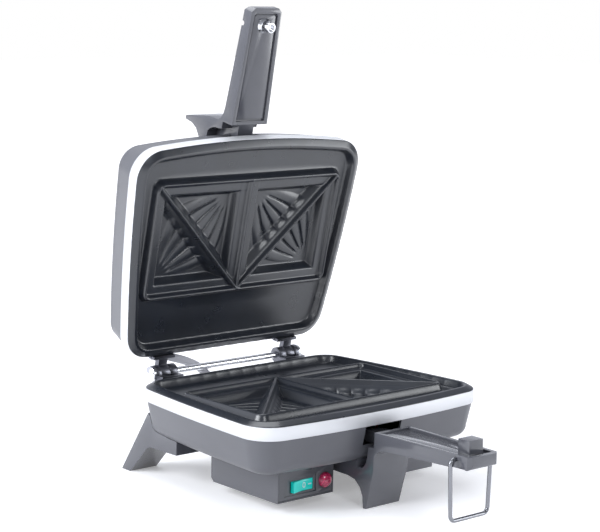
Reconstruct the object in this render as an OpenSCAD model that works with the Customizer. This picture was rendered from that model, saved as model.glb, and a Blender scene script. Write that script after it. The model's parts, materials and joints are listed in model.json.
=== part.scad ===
// Two-slice sandwich toaster with a hinged lid, shown with its lid raised.
// Millimetres, +Z up, +Y towards the hinge, front handle towards -Y.
// Every half is drawn in the hinge frame: origin on the hinge axis, base half below z = 0.
// The lid half is the same shape mirrored in z and turned about the axis by lid_angle.

/* [Cooking plates] */
// Width of each plate along the hinge side
plate_rear_w = 257; // [250:1:266]
// Width of each plate across its front corners
plate_front_w = 298; // [290:1:308]
// Depth of each plate from the hinge side to its front corners
plate_depth = 221; // [214:1:240]
// How far the middle of the front edge bows forward of the corners
front_bow = 10; // [6:1:16]
// How far each side bows outwards
side_bow = 3.5; // [2:0.5:5]
// Plan radius of the front corners
front_corner_r = 30; // [24:1:36]
// Plan radius of the rear corners
rear_corner_r = 28; // [22:1:30]
// Distance from the hinge axis to the rear edge of the plates
hinge_gap = 18; // [17:0.5:21]
// Gap between the two rims when the lid is shut
shut_gap = 0.8; // [0.4:0.1:2]
// Height of the bevelled rim above the band
rim_h = 4.2; // [3.5:0.1:6]
// Width of the bevel of the rim
rim_bevel_w = 7; // [5:0.5:9]
// Width of the flat crest of the rim
rim_crest_w = 2.5; // [1.5:0.5:4]
// Depth of the flat field below the rim crest
field_depth = 8.2; // [6:0.2:10]
// Thickness of the casting
plate_t = 3; // [2.4:0.1:4]

/* [Sandwich pockets] */
// Length of the two squares together
array_l = 240; // [224:1:246]
// Depth of the squares, front to back
array_w = 121; // [112:1:126]
// Distance from the hinge axis to the middle of the squares
array_back = 145; // [142:1:150]
// Width of the sealing ridges
ridge_w = 2.4; // [1.6:0.2:4]
// Width of the stepped ledge inside the ridges
ledge_w = 11; // [8:0.5:13]
// Depth of the ledge below the ridges
ledge_depth = 5; // [3:0.5:6]
// Depth of the pockets below the ledge
pocket_depth = 10; // [7:0.5:11]
// Run of the sloping pocket walls
pocket_slope = 6; // [4:0.5:8]
// Number of shell ribs in each pocket
pocket_ribs = 4; // [2:1:6]

/* [Bands and housings] */
// Height of the polished bands
band_h = 13; // [10:0.5:16]
// Thickness of the bands
band_t = 1; // [0.6:0.1:1.2]
// Height of the sloping wall of each housing
wall_h = 24.4; // [20:0.2:30]
// Inward lean of the housing wall over that height
wall_lean = 5.3; // [3:0.1:7]
// Height of the rounded turn into the housing's flat face
turn_h = 12; // [9:0.5:14]
// Width of the rounded turn
turn_w = 13.5; // [10:0.5:16]
// Thickness of the housing walls
housing_t = 2.5; // [2:0.1:3]

/* [Handles and legs] */
// Reach of the handles in front of the plates
handle_reach = 133; // [120:1:150]
// Width of the handles at the root and of the front leg
handle_root_w = 47; // [43:1:50]
// Width of the handles at the tip
handle_tip_w = 39; // [36:1:42]
// Distance from the hinge plane to the inner face of the handles
handle_drop = 21.5; // [20:0.5:24]
// Thickness of the handles at the tip
handle_tip_t = 13; // [12:0.5:14]
// Thickness of the handles at the root
handle_root_t = 16; // [15:0.5:17]
// Width of the two rails along the inner face
rail_w = 4.5; // [4.5:0.25:6]
// Height of the rails above the floor panel
rail_h = 1.6; // [1.2:0.1:3]
// Height of the base housing above the table
leg_h = 46; // [40:1:56]
// Width of each rear leg
rear_leg_w = 34; // [28:1:40]
// Thickness of the slanted part of the rear legs
rear_leg_t = 14.6; // [11:0.2:18]

/* [Latch] */
// Distance from the handle tip back to the bail pivot
latch_back = 18; // [16:0.5:24]
// Depth of the bail pivot below the hinge plane
bail_drop = 25.5; // [25.2:0.1:27]
// Diameter of the bail wire
bail_wire_d = 4; // [3:0.2:4.4]
// Distance between the centres of the bail's legs
bail_w = 53.5; // [51:0.5:56]
// Inward lean of the bail's legs
bail_lean = 2.3; // [0:0.1:3]
// Depth of the groove in the lid handle that the bail snaps into
bail_groove = 3.6; // [3.2:0.1:5]
// Width of the latch block
latch_block_w = 18; // [15:0.5:20]
// Depth of the latch block, front to back
latch_block_l = 14.5; // [12:0.5:16]
// Height of the latch block above the floor panel
latch_block_h = 13.8; // [11:0.2:15]
// Diameter of the lid peg
peg_d = 10.6; // [8:0.2:11]
// Length of the lid peg
peg_l = 12.8; // [10:0.2:13.6]

/* [Hinge] */
// Angle of the lid, counted from shut
lid_angle = 77.5; // [60:0.5:90]
// Diameter of the hinge rod
rod_d = 7; // [6:0.25:8]
// Radius of the hinge knuckles
knuckle_r = 8.2; // [7:0.1:8.6]
// Distance between the inner faces of the two inner ears
ear_span = 140; // [120:1:150]
// Width of the inner ears
inner_ear_w = 9; // [7:0.5:10]
// Width of the lid knuckles
lid_knuckle_w = 11; // [10.5:0.5:13]
// Width of the outer ears
outer_ear_w = 6; // [4:0.5:7]
// Running clearance between the rod and the knuckles, on the radius
rod_play = 0.06; // [0.02:0.01:0.09]
// Diameter of the sleeve that carries the leads to the lid
sleeve_d = 9; // [7:0.5:10]

/* [Controls] */
// Width of the control box
box_w = 71; // [69:0.5:73]
// Depth of the control box, front to back
box_l = 103; // [95:1:110]
// Height of the control box
box_h = 35; // [33:0.5:38]
// Height of the terminal box
terminal_h = 32; // [30:0.5:36]
// Distance from the middle of the toaster to the outer side of the boxes
box_out = 104; // [102:1:105]
// Distance from the nose of the plates back to the front of the boxes
box_back = 37; // [34:1:42]
// Thickness of the box walls
box_t = 2.2; // [1.8:0.1:3]
// Length of the rocker
rocker_l = 28; // [25:0.5:30]
// Height of the rocker
rocker_w = 10.8; // [10:0.2:11.6]
// Tilt of the rocker to either side
rocker_tilt = 7; // [5:0.5:8]
// Diameter of the lamp lens
lens_d = 15; // [12:0.5:15]

/* [Heating] */
// Diameter of the tubular heaters
heater_d = 6.5; // [5.5:0.25:7]
// Distance between the two runs of a heater
heater_pitch = 60; // [54:1:64]
// Thickness of the heat reflectors
reflector_t = 0.8; // [0.6:0.1:1.2]

/* [Hidden] */

$fn = 48;
eps = 0.01;
seat = 0.05;             // hair gap between pieces that bear on each other through a round face
skin = 0.3;              // gap that the legs and handles keep from the housings

// Heights in the hinge frame, base half
crest_z = -shut_gap / 2;
flange_z = crest_z - rim_h;
band_low_z = flange_z - band_h;
turn_z = band_low_z - wall_h;
bottom_z = turn_z - turn_h;
floor_z = bottom_z - leg_h;
field_z = crest_z - field_depth;
slab_z = field_z - plate_t;
ledge_z = crest_z - ledge_depth;
pocket_z = ledge_z - pocket_depth;
bulge_z = pocket_z - plate_t;
inside_z = bottom_z + housing_t;

// Plan of the plates
rear_y = -hinge_gap;
front_y = rear_y - plate_depth;
nose_y = front_y - front_bow;
side_lean = atan((plate_front_w - plate_rear_w) / 2 / plate_depth);
bow_r = (pow(plate_front_w / 2, 2) + pow(front_bow, 2)) / (2 * front_bow);
bow_y = nose_y + bow_r;
corner_steps = 8;
bow_steps = 14;
side_steps = 5;
side_r = (pow(plate_depth / cos(side_lean) / 2, 2) + pow(side_bow, 2)) / (2 * side_bow);
side_c = [-(plate_rear_w + plate_front_w) / 4 + cos(side_lean) * (side_r - side_bow),
          (rear_y + front_y) / 2 - sin(side_lean) * (side_r - side_bow)];
min_corner_r = 4;
housing_inset = 1.2;     // step from the band in to the housing
turn_steps = 5;

function polar(c, r, a) = [c[0] + r * cos(a), c[1] + r * sin(a)];
function arc(c, r, a0, a1, n) = [for (i = [0:n]) polar(c, r, a0 + (a1 - a0) * i / n)];
function flip(p) = [-p[0], p[1]];
function backwards(v) = [for (i = [len(v) - 1:-1:0]) v[i]];

// Direction of v, from 0 to 360
function turn_of(v) = (atan2(v[1], v[0]) + 360) % 360;

// Centre of the rear left corner arc: k inside the rear edge and inside the side's arc
function rear_corner(k) = [side_c[0] - sqrt(pow(side_r - k, 2) - pow(rear_y - k - side_c[1], 2)), rear_y - k];

// Centre of the front left corner arc: k inside the side's arc and inside the bow
function front_corner(k) =
  let (d = [0, bow_y] - side_c,
       e = d / norm(d),
       t = (norm(d) + (pow(side_r - k, 2) - pow(bow_r - k, 2)) / norm(d)) / 2,
       h = sqrt(pow(side_r - k, 2) - t * t))
  side_c + t * e + h * [-e[1], e[0]];

// Closed outline of the plates, moved in by inset, counter-clockwise from the rear left corner
function outline(inset) =
  let (rr = max(rear_corner_r - inset, min_corner_r),
       fr = max(front_corner_r - inset, min_corner_r),
       rc = rear_corner(inset + rr),
       fc = front_corner(inset + fr),
       a0 = turn_of(rc - side_c),
       a1 = turn_of(fc - side_c),
       af = 360 + atan2(fc[1] - bow_y, fc[0]),
       side = arc(side_c, side_r - inset, a0, a1, side_steps),
       inner_side = [for (i = [1:side_steps - 1]) side[i]],
       left = concat(arc(rc, rr, 90, a0, corner_steps), inner_side,
                     arc(fc, fr, a1, af, corner_steps)),
       bow = arc([0, bow_y], bow_r - inset, af, 540 - af, bow_steps),
       inner_bow = [for (i = [1:bow_steps - 1]) bow[i]])
  concat(left, inner_bow, backwards([for (p = left) flip(p)]));

// Solid through a stack of outlines, each [height, inset], lowest first
module loft(rings) {
  n = len(outline(0));
  m = len(rings);
  points = [for (r = rings) for (p = outline(r[1])) [p[0], p[1], r[0]]];
  faces = concat(
    [[for (i = [0:n - 1]) i]],
    [[for (i = [n - 1:-1:0]) (m - 1) * n + i]],
    [for (k = [0:m - 2]) for (i = [0:n - 1]) [k * n + i, (k + 1) * n + i, (k + 1) * n + (i + 1) % n]],
    [for (k = [0:m - 2]) for (i = [0:n - 1]) [k * n + i, (k + 1) * n + (i + 1) % n, k * n + (i + 1) % n]]);
  polyhedron(points, faces);
}

module prism(inset, z0, z1) {
  translate([0, 0, z0])
    linear_extrude(z1 - z0)
      polygon(outline(inset));
}

// Outline in the Y-Z plane carried along X, centred on x
module side_prism(points, x, w) {
  translate([x - w / 2, 0, 0])
    rotate([90, 0, 90])
      linear_extrude(w)
        polygon(points);
}

module x_rod(p, r, l) {
  translate(p)
    rotate([0, 90, 0])
      cylinder(r = r, h = l, center = true);
}

module y_rod(p, r, l) {
  translate(p)
    rotate([90, 0, 0])
      cylinder(r = r, h = l, center = true);
}

// Upright round bar from z0 to z1
module post(x, y, z0, z1, r) {
  translate([x, y, z0])
    cylinder(r = r, h = z1 - z0);
}

// Pan-head screw driven upwards: head under seat_z, shank above it
module screw_up(x, y, seat_z, shank, r) {
  post(x, y, seat_z - 1.2 * r, seat_z, 2 * r);
  post(x, y, seat_z - eps, seat_z + shank, r);
}

// Placing of the two halves
foot_back_y = nose_y + 5;
hinge_z = -floor_z;
function lid_y(y, z) = y * cos(lid_angle) + z * sin(lid_angle);
function lid_z(y, z) = -y * sin(lid_angle) + z * cos(lid_angle);
tip_y = nose_y - handle_reach;
hinge_y = -(tip_y + lid_y(foot_back_y, -floor_z)) / 2;

module at_base() {
  translate([0, hinge_y, hinge_z])
    children();
}

module at_lid() {
  translate([0, hinge_y, hinge_z])
    rotate([-lid_angle, 0, 0])
      mirror([0, 0, 1])
        children();
}

// ---------------------------------------------------------------- plates

square_l = array_l / 2;
array_y = -array_back;
array_corner_r = 7;
ridge_drop = ledge_w;            // ledge width along the outer edges and the middle ridge
diagonal_drop = ledge_w * 0.8;   // ledge width beside the diagonal ridges

// Right-angled triangle of one half-square, cut back from its edges.
// c is the square corner, sx and sy point from it into the triangle, e and h are the cut-backs.
function tri(c, sx, sy, e, h) =
  let (a = square_l - e, b = array_w - e,
       long = norm([square_l, array_w]),
       ka = h * long / array_w + e * square_l / array_w,
       kb = h * long / square_l + e * array_w / square_l)
  [[c[0] + sx * e, c[1] + sy * e],
   [c[0] + sx * (square_l - ka), c[1] + sy * e],
   [c[0] + sx * e, c[1] + sy * (array_w - kb)]];

// The four half-squares: outer rear and inner front, on both sides
function pockets() = [for (s = [-1, 1]) each [
  [[s * square_l, array_y + array_w / 2], -s, -1],
  [[0, array_y - array_w / 2], s, 1]]];

module triangle(t, e, h, z0, z1) {
  translate([0, 0, z0])
    linear_extrude(z1 - z0)
      polygon(tri(t[0], t[1], t[2], e, h));
}

// Pocket with sloping walls
module pocket(t) {
  e0 = ridge_w / 2 + ridge_drop;
  h0 = ridge_w / 2 + diagonal_drop;
  low = tri(t[0], t[1], t[2], e0 + pocket_slope, h0 + pocket_slope);
  high = tri(t[0], t[1], t[2], e0, h0);
  turn = t[1] * t[2] > 0 ? [0, 1, 2] : [0, 2, 1];
  points = concat([for (i = turn) [low[i][0], low[i][1], pocket_z]],
                  [for (i = turn) [high[i][0], high[i][1], ledge_z + eps]]);
  polyhedron(points, [[0, 1, 2], [5, 4, 3], [0, 3, 4], [0, 4, 1], [1, 4, 5], [1, 5, 2], [2, 5, 3], [2, 3, 0]]);
}

// Shell ribs that fan out from the square corner of a pocket
rib_w = 3;
rib_h = 4;
module pocket_fan(t) {
  e0 = ridge_w / 2 + ridge_drop + pocket_slope;
  h0 = ridge_w / 2 + diagonal_drop + pocket_slope;
  corner = tri(t[0], t[1], t[2], e0, h0)[0];
  base_angle = atan2(t[2], t[1]) - 45;
  intersection() {
    triangle(t, e0, h0, pocket_z - eps, pocket_z + rib_h);
    union()
      for (i = [1:pocket_ribs])
        translate([corner[0], corner[1], pocket_z - eps])
          rotate(base_angle + 90 * i / (pocket_ribs + 1))
            translate([12, -rib_w / 2, 0])
              rotate([90, 0, 90])
                linear_extrude(square_l)
                  polygon([[0, 0], [rib_w, 0], [rib_w / 2, rib_h]]);
  }
}

module array_block() {
  r = array_corner_r;
  translate([0, 0, slab_z])
    linear_extrude(crest_z - slab_z)
      union() {
        translate([-array_l / 2 + r, array_y - array_w / 2]) square([array_l - 2 * r, array_w]);
        translate([-array_l / 2, array_y - array_w / 2 + r]) square([array_l, array_w - 2 * r]);
        for (sx = [-1, 1], sy = [-1, 1])
          translate([sx * (array_l / 2 - r), array_y + sy * (array_w / 2 - r)]) circle(r);
      }
}

// Screw places shared by plate and housing: [x, y]
housing_screw_r = 2;
housing_boss_r = 5;
rear_screw = [plate_rear_w / 2 - 68.5, rear_y - 32];
front_screw = [plate_rear_w / 2 - 53.5, nose_y + 27];
housing_screws = [for (s = [-1, 1]) each [[s * rear_screw[0], rear_screw[1]],
                                          [s * front_screw[0], front_screw[1]]]];

// Block behind the rear rim that the hinge screws bite into
slab_inset = 2.6;
rail_l = 8;
rail_half = ear_span / 2 + 34;
hinge_screw_r = 1.5;
hinge_screw_xs = [for (s = [-1, 1]) each [s * (ear_span / 2 + 4.5), s * (ear_span / 2 + 24)]];
hinge_screw_z = flange_z - 4.9;
heater_z = bulge_z - heater_d / 2 - seat;
strap_z = heater_z - heater_d / 2 - seat;
strap_xs = [-square_l / 2, 0, square_l / 2];
reflector_z = strap_z - 4;
reflector_screws = [for (s = [-1, 1], t = [-1, 1]) [s * square_l * 0.4, array_y + t * (array_w / 2 + 8)]];

module plate_solid() {
  difference() {
    union() {
      difference() {
        union() {
          loft([[flange_z, 0.2], [flange_z + 0.8, 0.2], [crest_z, rim_bevel_w]]);
          prism(slab_inset, slab_z, flange_z + eps);
        }
        loft([[field_z, rim_bevel_w + rim_crest_w + 4.5],
              [crest_z + 0.2, rim_bevel_w + rim_crest_w]]);
      }
      array_block();
      for (t = pockets())
        triangle(t, ridge_w / 2 + ridge_drop - 1, ridge_w / 2 + diagonal_drop - 1, bulge_z, slab_z + eps);
      for (p = housing_screws)
        post(p[0], p[1], inside_z, slab_z + eps, housing_boss_r);
      for (p = reflector_screws)
        post(p[0], p[1], reflector_z + seat, slab_z + eps, 3.5);
      for (x = strap_xs)
        post(x, array_y, strap_z + seat, slab_z + eps, 4.5);
      translate([-rail_half, rear_y - band_t - seat - rail_l, hinge_screw_z - 4])
        cube([2 * rail_half, rail_l, 4 + flange_z - hinge_screw_z - 0.2]);
    }
    for (t = pockets()) {
      triangle(t, ridge_w / 2 + 1.2, ridge_w / 2 + 1.2, ledge_z, crest_z + 1);
      pocket(t);
    }
    for (p = housing_screws)
      post(p[0], p[1], inside_z - eps, slab_z - 2, housing_screw_r + seat);
    for (p = reflector_screws)
      post(p[0], p[1], reflector_z, slab_z - 1, 1.5 + seat);
    for (x = strap_xs)
      post(x, array_y, strap_z, slab_z - 1, 1.5 + seat);
    for (x = hinge_screw_xs)
      y_rod([x, rear_y - 4.5, hinge_screw_z], hinge_screw_r + seat, 8);
  }
  for (t = pockets())
    pocket_fan(t);
}

module band_solid() {
  difference() {
    prism(0, band_low_z, flange_z);
    prism(band_t, band_low_z - eps, flange_z + eps);
    for (x = hinge_screw_xs)
      y_rod([x, rear_y, hinge_screw_z], hinge_screw_r + 0.3, 6);
  }
}

// ---------------------------------------------------------------- housings

// Heights and insets of the outer face, lowest first; g grows it outwards
function housing_rings(g) = concat(
  [for (i = [turn_steps:-1:0])
    let (a = 90 * i / turn_steps)
    [turn_z - (turn_h + g) * sin(a), housing_inset + wall_lean + turn_w * (1 - cos(a)) - g]],
  [[band_low_z, housing_inset - g]]);

// Everything that a leg or handle has to stay clear of: housing and band
module housing_keep_out(g) {
  loft(concat(housing_rings(g), [[band_low_z + eps, -g], [5, -g]]));
}

notch_low_z = band_low_z - 19.7;
notch_w = handle_root_w + 0.6;
tongue_top_z = -handle_drop - 4.5;
tongue_back_y = nose_y + 17;

// Places of the round cable ways
base_entry = [-10, -30];
lid_entry = [-76, -30];
entry_r = 5.6;
grommet_r = 7.5;

// Screw places of handle and rear legs: [x, y]
handle_screw_r = 2;
leg_x = plate_rear_w / 2 - 5.1 - rear_leg_w / 2;
handle_screws = [[0, nose_y + 34], [0, nose_y + 52]];
rear_leg_screws = [for (s = [-1, 1]) each [[s * (leg_x - 2), rear_y - 32], [s * (leg_x - 2), rear_y - 50]]];
inner_boss_h = 13;

module inner_bosses(places) {
  for (p = places)
    post(p[0], p[1], inside_z - eps, inside_z + inner_boss_h, 4.2);
}

module boss_holes(places, r) {
  for (p = places)
    post(p[0], p[1], bottom_z - 1, inside_z + inner_boss_h - 2, r);
}

module housing_solid(legs, entry, notch) {
  t = housing_t;
  difference() {
    union() {
      difference() {
        loft(housing_rings(0));
        loft(concat(housing_rings(-t), [[band_low_z + eps, housing_inset + t], [band_low_z + 1, housing_inset + t]]));
      }
      inner_bosses(handle_screws);
      if (legs) inner_bosses(rear_leg_screws);
    }
    if (notch)
      translate([-notch_w / 2, nose_y - 5, notch_low_z])
        cube([notch_w, 5 + wall_lean + turn_w, band_low_z - notch_low_z + 1]);
    boss_holes(handle_screws, handle_screw_r + seat);
    if (legs) boss_holes(rear_leg_screws, handle_screw_r + seat);
    for (p = housing_screws)
      post(p[0], p[1], bottom_z - 1, inside_z + 1, housing_screw_r + 0.2);
    y_rod([entry[0], rear_y - 5, entry[1]], entry_r, 14);
    if (legs)
      for (b = box_places)
        post(b[0], b[1], bottom_z - 1, inside_z + 1, b[2]);
  }
}

// ---------------------------------------------------------------- boxes under the base

box_front_y = nose_y + box_back;
box_back_y = box_front_y + box_l;
box_low_z = bottom_z - box_h;
terminal_low_z = bottom_z - terminal_h;
box_mid = box_out - box_w / 2;
box_screw_r = 1.5;
box_boss_r = 3.4;
box_boss_h = 10;
wire_way_r = 6;
function box_screws_at(s) = [for (dx = [-1, 1], y = [box_front_y + 14, box_back_y - 5])
  [s * box_mid + dx * (box_w / 2 - 5), y]];
all_box_screws = concat(box_screws_at(-1), box_screws_at(1));
// Holes through the housing's floor for the box screws and leads: [x, y, radius]
box_places = concat([for (p = all_box_screws) [p[0], p[1], box_screw_r + 0.1]],
                    [for (s = [-1, 1]) [s * box_mid, box_front_y + box_l / 2, wire_way_r]]);

// Side outline of a box down to low, moved in by t except at its open top
function box_side(low, t) = [[box_front_y + t, bottom_z + (t > 0 ? 1 : 0)],
                             [box_front_y + t, low + t],
                             [box_back_y - 4 - t * 0.4, low + t],
                             [box_back_y - t, low + 4 + t * 0.4],
                             [box_back_y - t, bottom_z + (t > 0 ? 1 : 0)]];

module box_shell(s) {
  low = s < 0 ? box_low_z : terminal_low_z;
  difference() {
    union() {
      difference() {
        side_prism(box_side(low, 0), s * box_mid, box_w);
        side_prism(box_side(low, box_t), s * box_mid, box_w - 2 * box_t);
      }
      for (p = box_screws_at(s))
        post(p[0], p[1], bottom_z - box_boss_h, bottom_z, box_boss_r);
    }
    for (p = box_screws_at(s))
      post(p[0], p[1], bottom_z - box_boss_h + 1, bottom_z + 1, box_screw_r + seat);
  }
}

// Front panel of the control box
frame_w = 1.2;
frame_gap = 0.4;
panel_y = box_front_y + 0.3;
recess_d = 1.8;
panel_back_y = box_front_y + box_t + 1.5;
panel_mid_z = (bottom_z + box_low_z) / 2;
recess_h = 17.4;
recess_l = 40.6;
recess_x = -box_out + 28.9;
control_z = bottom_z - 22.2;
recess_z = control_z + 0.85;
rocker_x = -box_out + 31.8;
lens_x = -box_out + 60;
lens_z = bottom_z - 20.7;
rocker_in = 5.4;
rocker_y = panel_y + recess_d + rocker_in;
rocker_gap = 0.4;
rocker_half = rocker_l / 2 + 0.8;
pin_r = 1.3;

// Block from corner to corner
module block(x, y, z) {
  translate([x[0], y[0], z[0]])
    cube([x[1] - x[0], y[1] - y[0], z[1] - z[0]]);
}

module panel_solid() {
  w = box_w / 2 - frame_w - frame_gap;
  h = box_h / 2 - frame_w - frame_gap;
  plug = box_w / 2 - box_t - 0.3;
  difference() {
    union() {
      block([-box_mid - w, -box_mid + w], [panel_y, box_front_y + box_t], [panel_mid_z - h, panel_mid_z + h]);
      block([-box_mid - plug, -box_mid + plug], [box_front_y + box_t - eps, panel_back_y],
            [box_low_z + box_t + 0.1, bottom_z - 1.5]);
    }
    block([recess_x - recess_l / 2, recess_x + recess_l / 2], [panel_y - 1, panel_y + recess_d],
          [recess_z - recess_h / 2, recess_z + recess_h / 2]);
    block([rocker_x - rocker_half, rocker_x + rocker_half], [panel_y, panel_back_y + 1],
          [control_z - rocker_w / 2 - rocker_gap, control_z + rocker_w / 2 + rocker_gap]);
    y_rod([lens_x, panel_y, lens_z], lens_d / 2 + 0.1, 12);
  }
}

module switch_solid() {
  z_in = rocker_w / 2 + rocker_gap;
  z_out = z_in + 1.9;
  y0 = panel_back_y + seat;
  difference() {
    union() {
      block([rocker_x - rocker_half - 1.5, rocker_x + rocker_half + 1.5], [y0, y0 + 20],
            [control_z - z_out, control_z + z_out]);
      for (dx = [-10, 0, 10])
        block([rocker_x + dx - 0.4, rocker_x + dx + 0.4], [y0 + 19, y0 + 28], [control_z - 3, control_z + 3]);
    }
    block([rocker_x - rocker_half, rocker_x + rocker_half], [y0 - 1, y0 + 13],
          [control_z - z_in, control_z + z_in]);
    post(rocker_x, rocker_y, control_z - z_in - 1.4, control_z + z_in + 1.4, pin_r + 0.06);
  }
}

// Rocker, pressed on its right half
module rocker_solid() {
  a = rocker_l / 2 - 0.7;
  rise = a * tan(rocker_tilt);
  translate([rocker_x, rocker_y, control_z])
    rotate(rocker_tilt) {
      translate([0, 0, -rocker_w / 2])
        linear_extrude(rocker_w)
          polygon([[-a, -rocker_in - rise], [0, -rocker_in], [a, -rocker_in - rise], [a, -rocker_in + 2.5],
                   [8, 2.4], [-8, 2.4], [-a, -rocker_in + 2.5]]);
      translate([0, 0, -rocker_w / 2 - rocker_gap - 1.1])
        cylinder(r = pin_r, h = rocker_w + 2 * rocker_gap + 2.2);
    }
}

module lens_solid() {
  r = lens_d / 2;
  rise = 4.3;
  ball = (r * r + rise * rise) / (2 * rise);
  edge = asin(r / ball);
  dome = arc([0, rise - ball], ball, 90, 90 - edge, 8);
  back = panel_back_y - panel_y + 2;
  translate([lens_x, panel_y - 2, lens_z])
    rotate([90, 0, 0])
      rotate_extrude()
        polygon(concat([[0, -back - 1.55]], dome,
                       [[r, -back - seat], [r + 0.9, -back - seat], [r + 0.9, -back - 1.55]]));
}

module lamp_holder_solid() {
  y0 = panel_back_y + 1.6;
  difference() {
    y_rod([lens_x, y0 + 9, lens_z], 6, 18);
    y_rod([lens_x, y0 + 5, lens_z], 4.4, 12);
  }
  y_rod([lens_x, y0 + 8, lens_z], 2.6, 8);
  for (dx = [-2.5, 2.5])
    block([lens_x + dx - 0.4, lens_x + dx + 0.4], [y0 + 17, y0 + 25], [lens_z - 2.4, lens_z + 2.4]);
}

// Terminal block on the floor of the right box, and the gland in its rear wall
term_y = box_front_y + 62;
term_z = terminal_low_z + box_t;
gland_z = bottom_z - 14;

module terminal_solid() {
  difference() {
    block([box_mid - 17, box_mid + 17], [term_y - 8, term_y + 8], [term_z, term_z + 14]);
    for (dx = [-11, 0, 11])
      y_rod([box_mid + dx, term_y, term_z + 6], 2, 17);
  }
  for (dx = [-11, 0, 11], dy = [-4.5, 4.5])
    post(box_mid + dx, term_y + dy, term_z + 14 - eps, term_z + 15.4, 2.2);
}

module gland_solid() {
  difference() {
    union() {
      y_rod([box_mid, box_back_y + 3.5 + seat, gland_z], 7.5, 7);
      y_rod([box_mid, box_back_y - 1.5, gland_z], 5.5, 4);
    }
    y_rod([box_mid, box_back_y + 2, gland_z], 3.4, 20);
  }
}

// ---------------------------------------------------------------- handles and legs

root_y = nose_y - 13;
leg_toe_y = nose_y + 1;
bail_y = tip_y + latch_back;
panel_z = -handle_drop - rail_h;
pad_z = bottom_z - 17;
handle_seat_z = bottom_z - 9;
outer_z = -handle_drop - handle_tip_t;
root_z = -handle_drop - handle_root_t;
groove_z = outer_z + bail_groove;
groove_r = bail_wire_d / 2 + 0.5;
bail_len = bail_wire_d / 2 + skin - groove_z + bail_drop;
handle_back_y = nose_y + 64;

// Half width of the handle at y
function half_w(y) = let (f = min(max((y - tip_y) / (root_y - tip_y), 0), 1))
  (handle_tip_w + f * (handle_root_w - handle_tip_w)) / 2;

// Side outline of the handle and its leg, inner face first
handle_side = [
  [tip_y, -handle_drop], [nose_y - 10, -handle_drop], [nose_y - 10, notch_low_z + 0.3],
  [handle_back_y, notch_low_z + 0.3], [handle_back_y, bottom_z - 12], [nose_y + 49, pad_z],
  [nose_y + 27, pad_z - 0.5], [nose_y + 17, pad_z - 2.5], [nose_y + 9.5, pad_z - 9],
  [nose_y + 6, pad_z - 17], [foot_back_y, floor_z], [leg_toe_y, floor_z], [nose_y - 4.2, bottom_z - 26],
  [nose_y - 7, bottom_z - 16], [nose_y - 9.2, bottom_z - 6],
  [nose_y - 10.2, root_z - 7.5], [root_y, root_z - 4], [nose_y - 18, root_z - 1], [nose_y - 26, root_z + 0.3],
  [nose_y - 44, root_z + 1.1], [tip_y + 47, outer_z - 0.5], [tip_y + 4, outer_z + 0.5],
  [tip_y + 1, outer_z + 2], [tip_y, outer_z + 4.5]];

// Plan of the handle, moved in by t
function handle_plan(t, y0, y1, c) = [
  [-half_w(y0) + t + c, y0], [half_w(y0) - t - c, y0], [half_w(y0 + c) - t, y0 + c], [half_w(root_y) - t, min(root_y, y1)],
  [half_w(y1) - t, y1], [-half_w(y1) + t, y1], [-half_w(root_y) + t, min(root_y, y1)], [-half_w(y0 + c) + t, y0 + c]];

// Front outline of the handle and its leg, narrowing towards the floor
neck = 10;
panel_groove_w = 1.6;
panel_groove_d = 1.2;
leg_front = [
  [-handle_root_w / 2 + 1, floor_z - 1], [handle_root_w / 2 - 1, floor_z - 1],
  [handle_root_w / 2 + eps, bottom_z + 6], [handle_root_w / 2 + eps, 1],
  [-handle_root_w / 2 - eps, 1], [-handle_root_w / 2 - eps, bottom_z + 6]];

module handle_solid(lid) {
  difference() {
    union() {
      difference() {
        intersection() {
          side_prism(handle_side, 0, handle_root_w + 2);
          translate([0, 0, floor_z - 1])
            linear_extrude(-floor_z)
              polygon(handle_plan(0, tip_y, handle_back_y + 1, 4));
          translate([0, handle_back_y + 1, 0])
            rotate([90, 0, 0])
              linear_extrude(handle_back_y + 2 - tip_y)
                polygon(leg_front);
        }
        housing_keep_out(skin);
        intersection() {
          housing_keep_out(8);
          for (s = [-1, 1])
            translate([s * (neck + 20), 0, 0])
              block([-20, 20], [nose_y - 20, nose_y + 14], [bottom_z - 6, 0]);
        }
      }
      block([-neck, neck], [nose_y - 12, tongue_back_y], [notch_low_z + 0.3, tongue_top_z]);
    }
    translate([0, 0, panel_z])
      linear_extrude(rail_h + 1)
        polygon(handle_plan(rail_w, tip_y + 5.5, nose_y - 14, 2));
    translate([0, 0, panel_z - panel_groove_d])
      linear_extrude(panel_groove_d + eps)
        difference() {
          polygon(handle_plan(rail_w, tip_y + 5.5, nose_y - 14, 2));
          polygon(handle_plan(rail_w + panel_groove_w, tip_y + 5.5 + panel_groove_w, nose_y - 14 - panel_groove_w, 2));
        }
    if (lid) {
      x_rod([0, bail_y, groove_z - groove_r], groove_r, handle_root_w);
      block([-handle_root_w / 2, handle_root_w / 2], [bail_y - groove_r, bail_y + groove_r],
            [outer_z - 2, groove_z - groove_r]);
    } else
      for (s = [-1, 1]) {
        x_rod([s * half_w(bail_y), bail_y - 3, outer_z], 8.5, 4);
        x_rod([s * (handle_tip_w / 2 + 1), bail_y, -bail_drop], bail_wire_d / 2 + 0.08, 2 * rail_w + 2);
      }
    post(0, bail_y, panel_z - 4, panel_z + 1, 3 + seat);
    for (p = handle_screws) {
      post(p[0], p[1], floor_z, handle_seat_z, 4.4);
      post(p[0], p[1], handle_seat_z - eps, bottom_z + 1, handle_screw_r + 0.2);
    }
  }
}

// Rear leg on side s
leg_foot_y = 17;
leg_seat_z = bottom_z - 8;
leg_side = [
  [rear_y - 10.7, turn_z + 10], [leg_foot_y, floor_z], [leg_foot_y - rear_leg_t, floor_z],
  [rear_y - 9, bottom_z - 15.5], [rear_y - 14, bottom_z - 13.6], [rear_y - 59, bottom_z - 13],
  [rear_y - 59, bottom_z + 5], [rear_y - 24, turn_z]];

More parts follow.
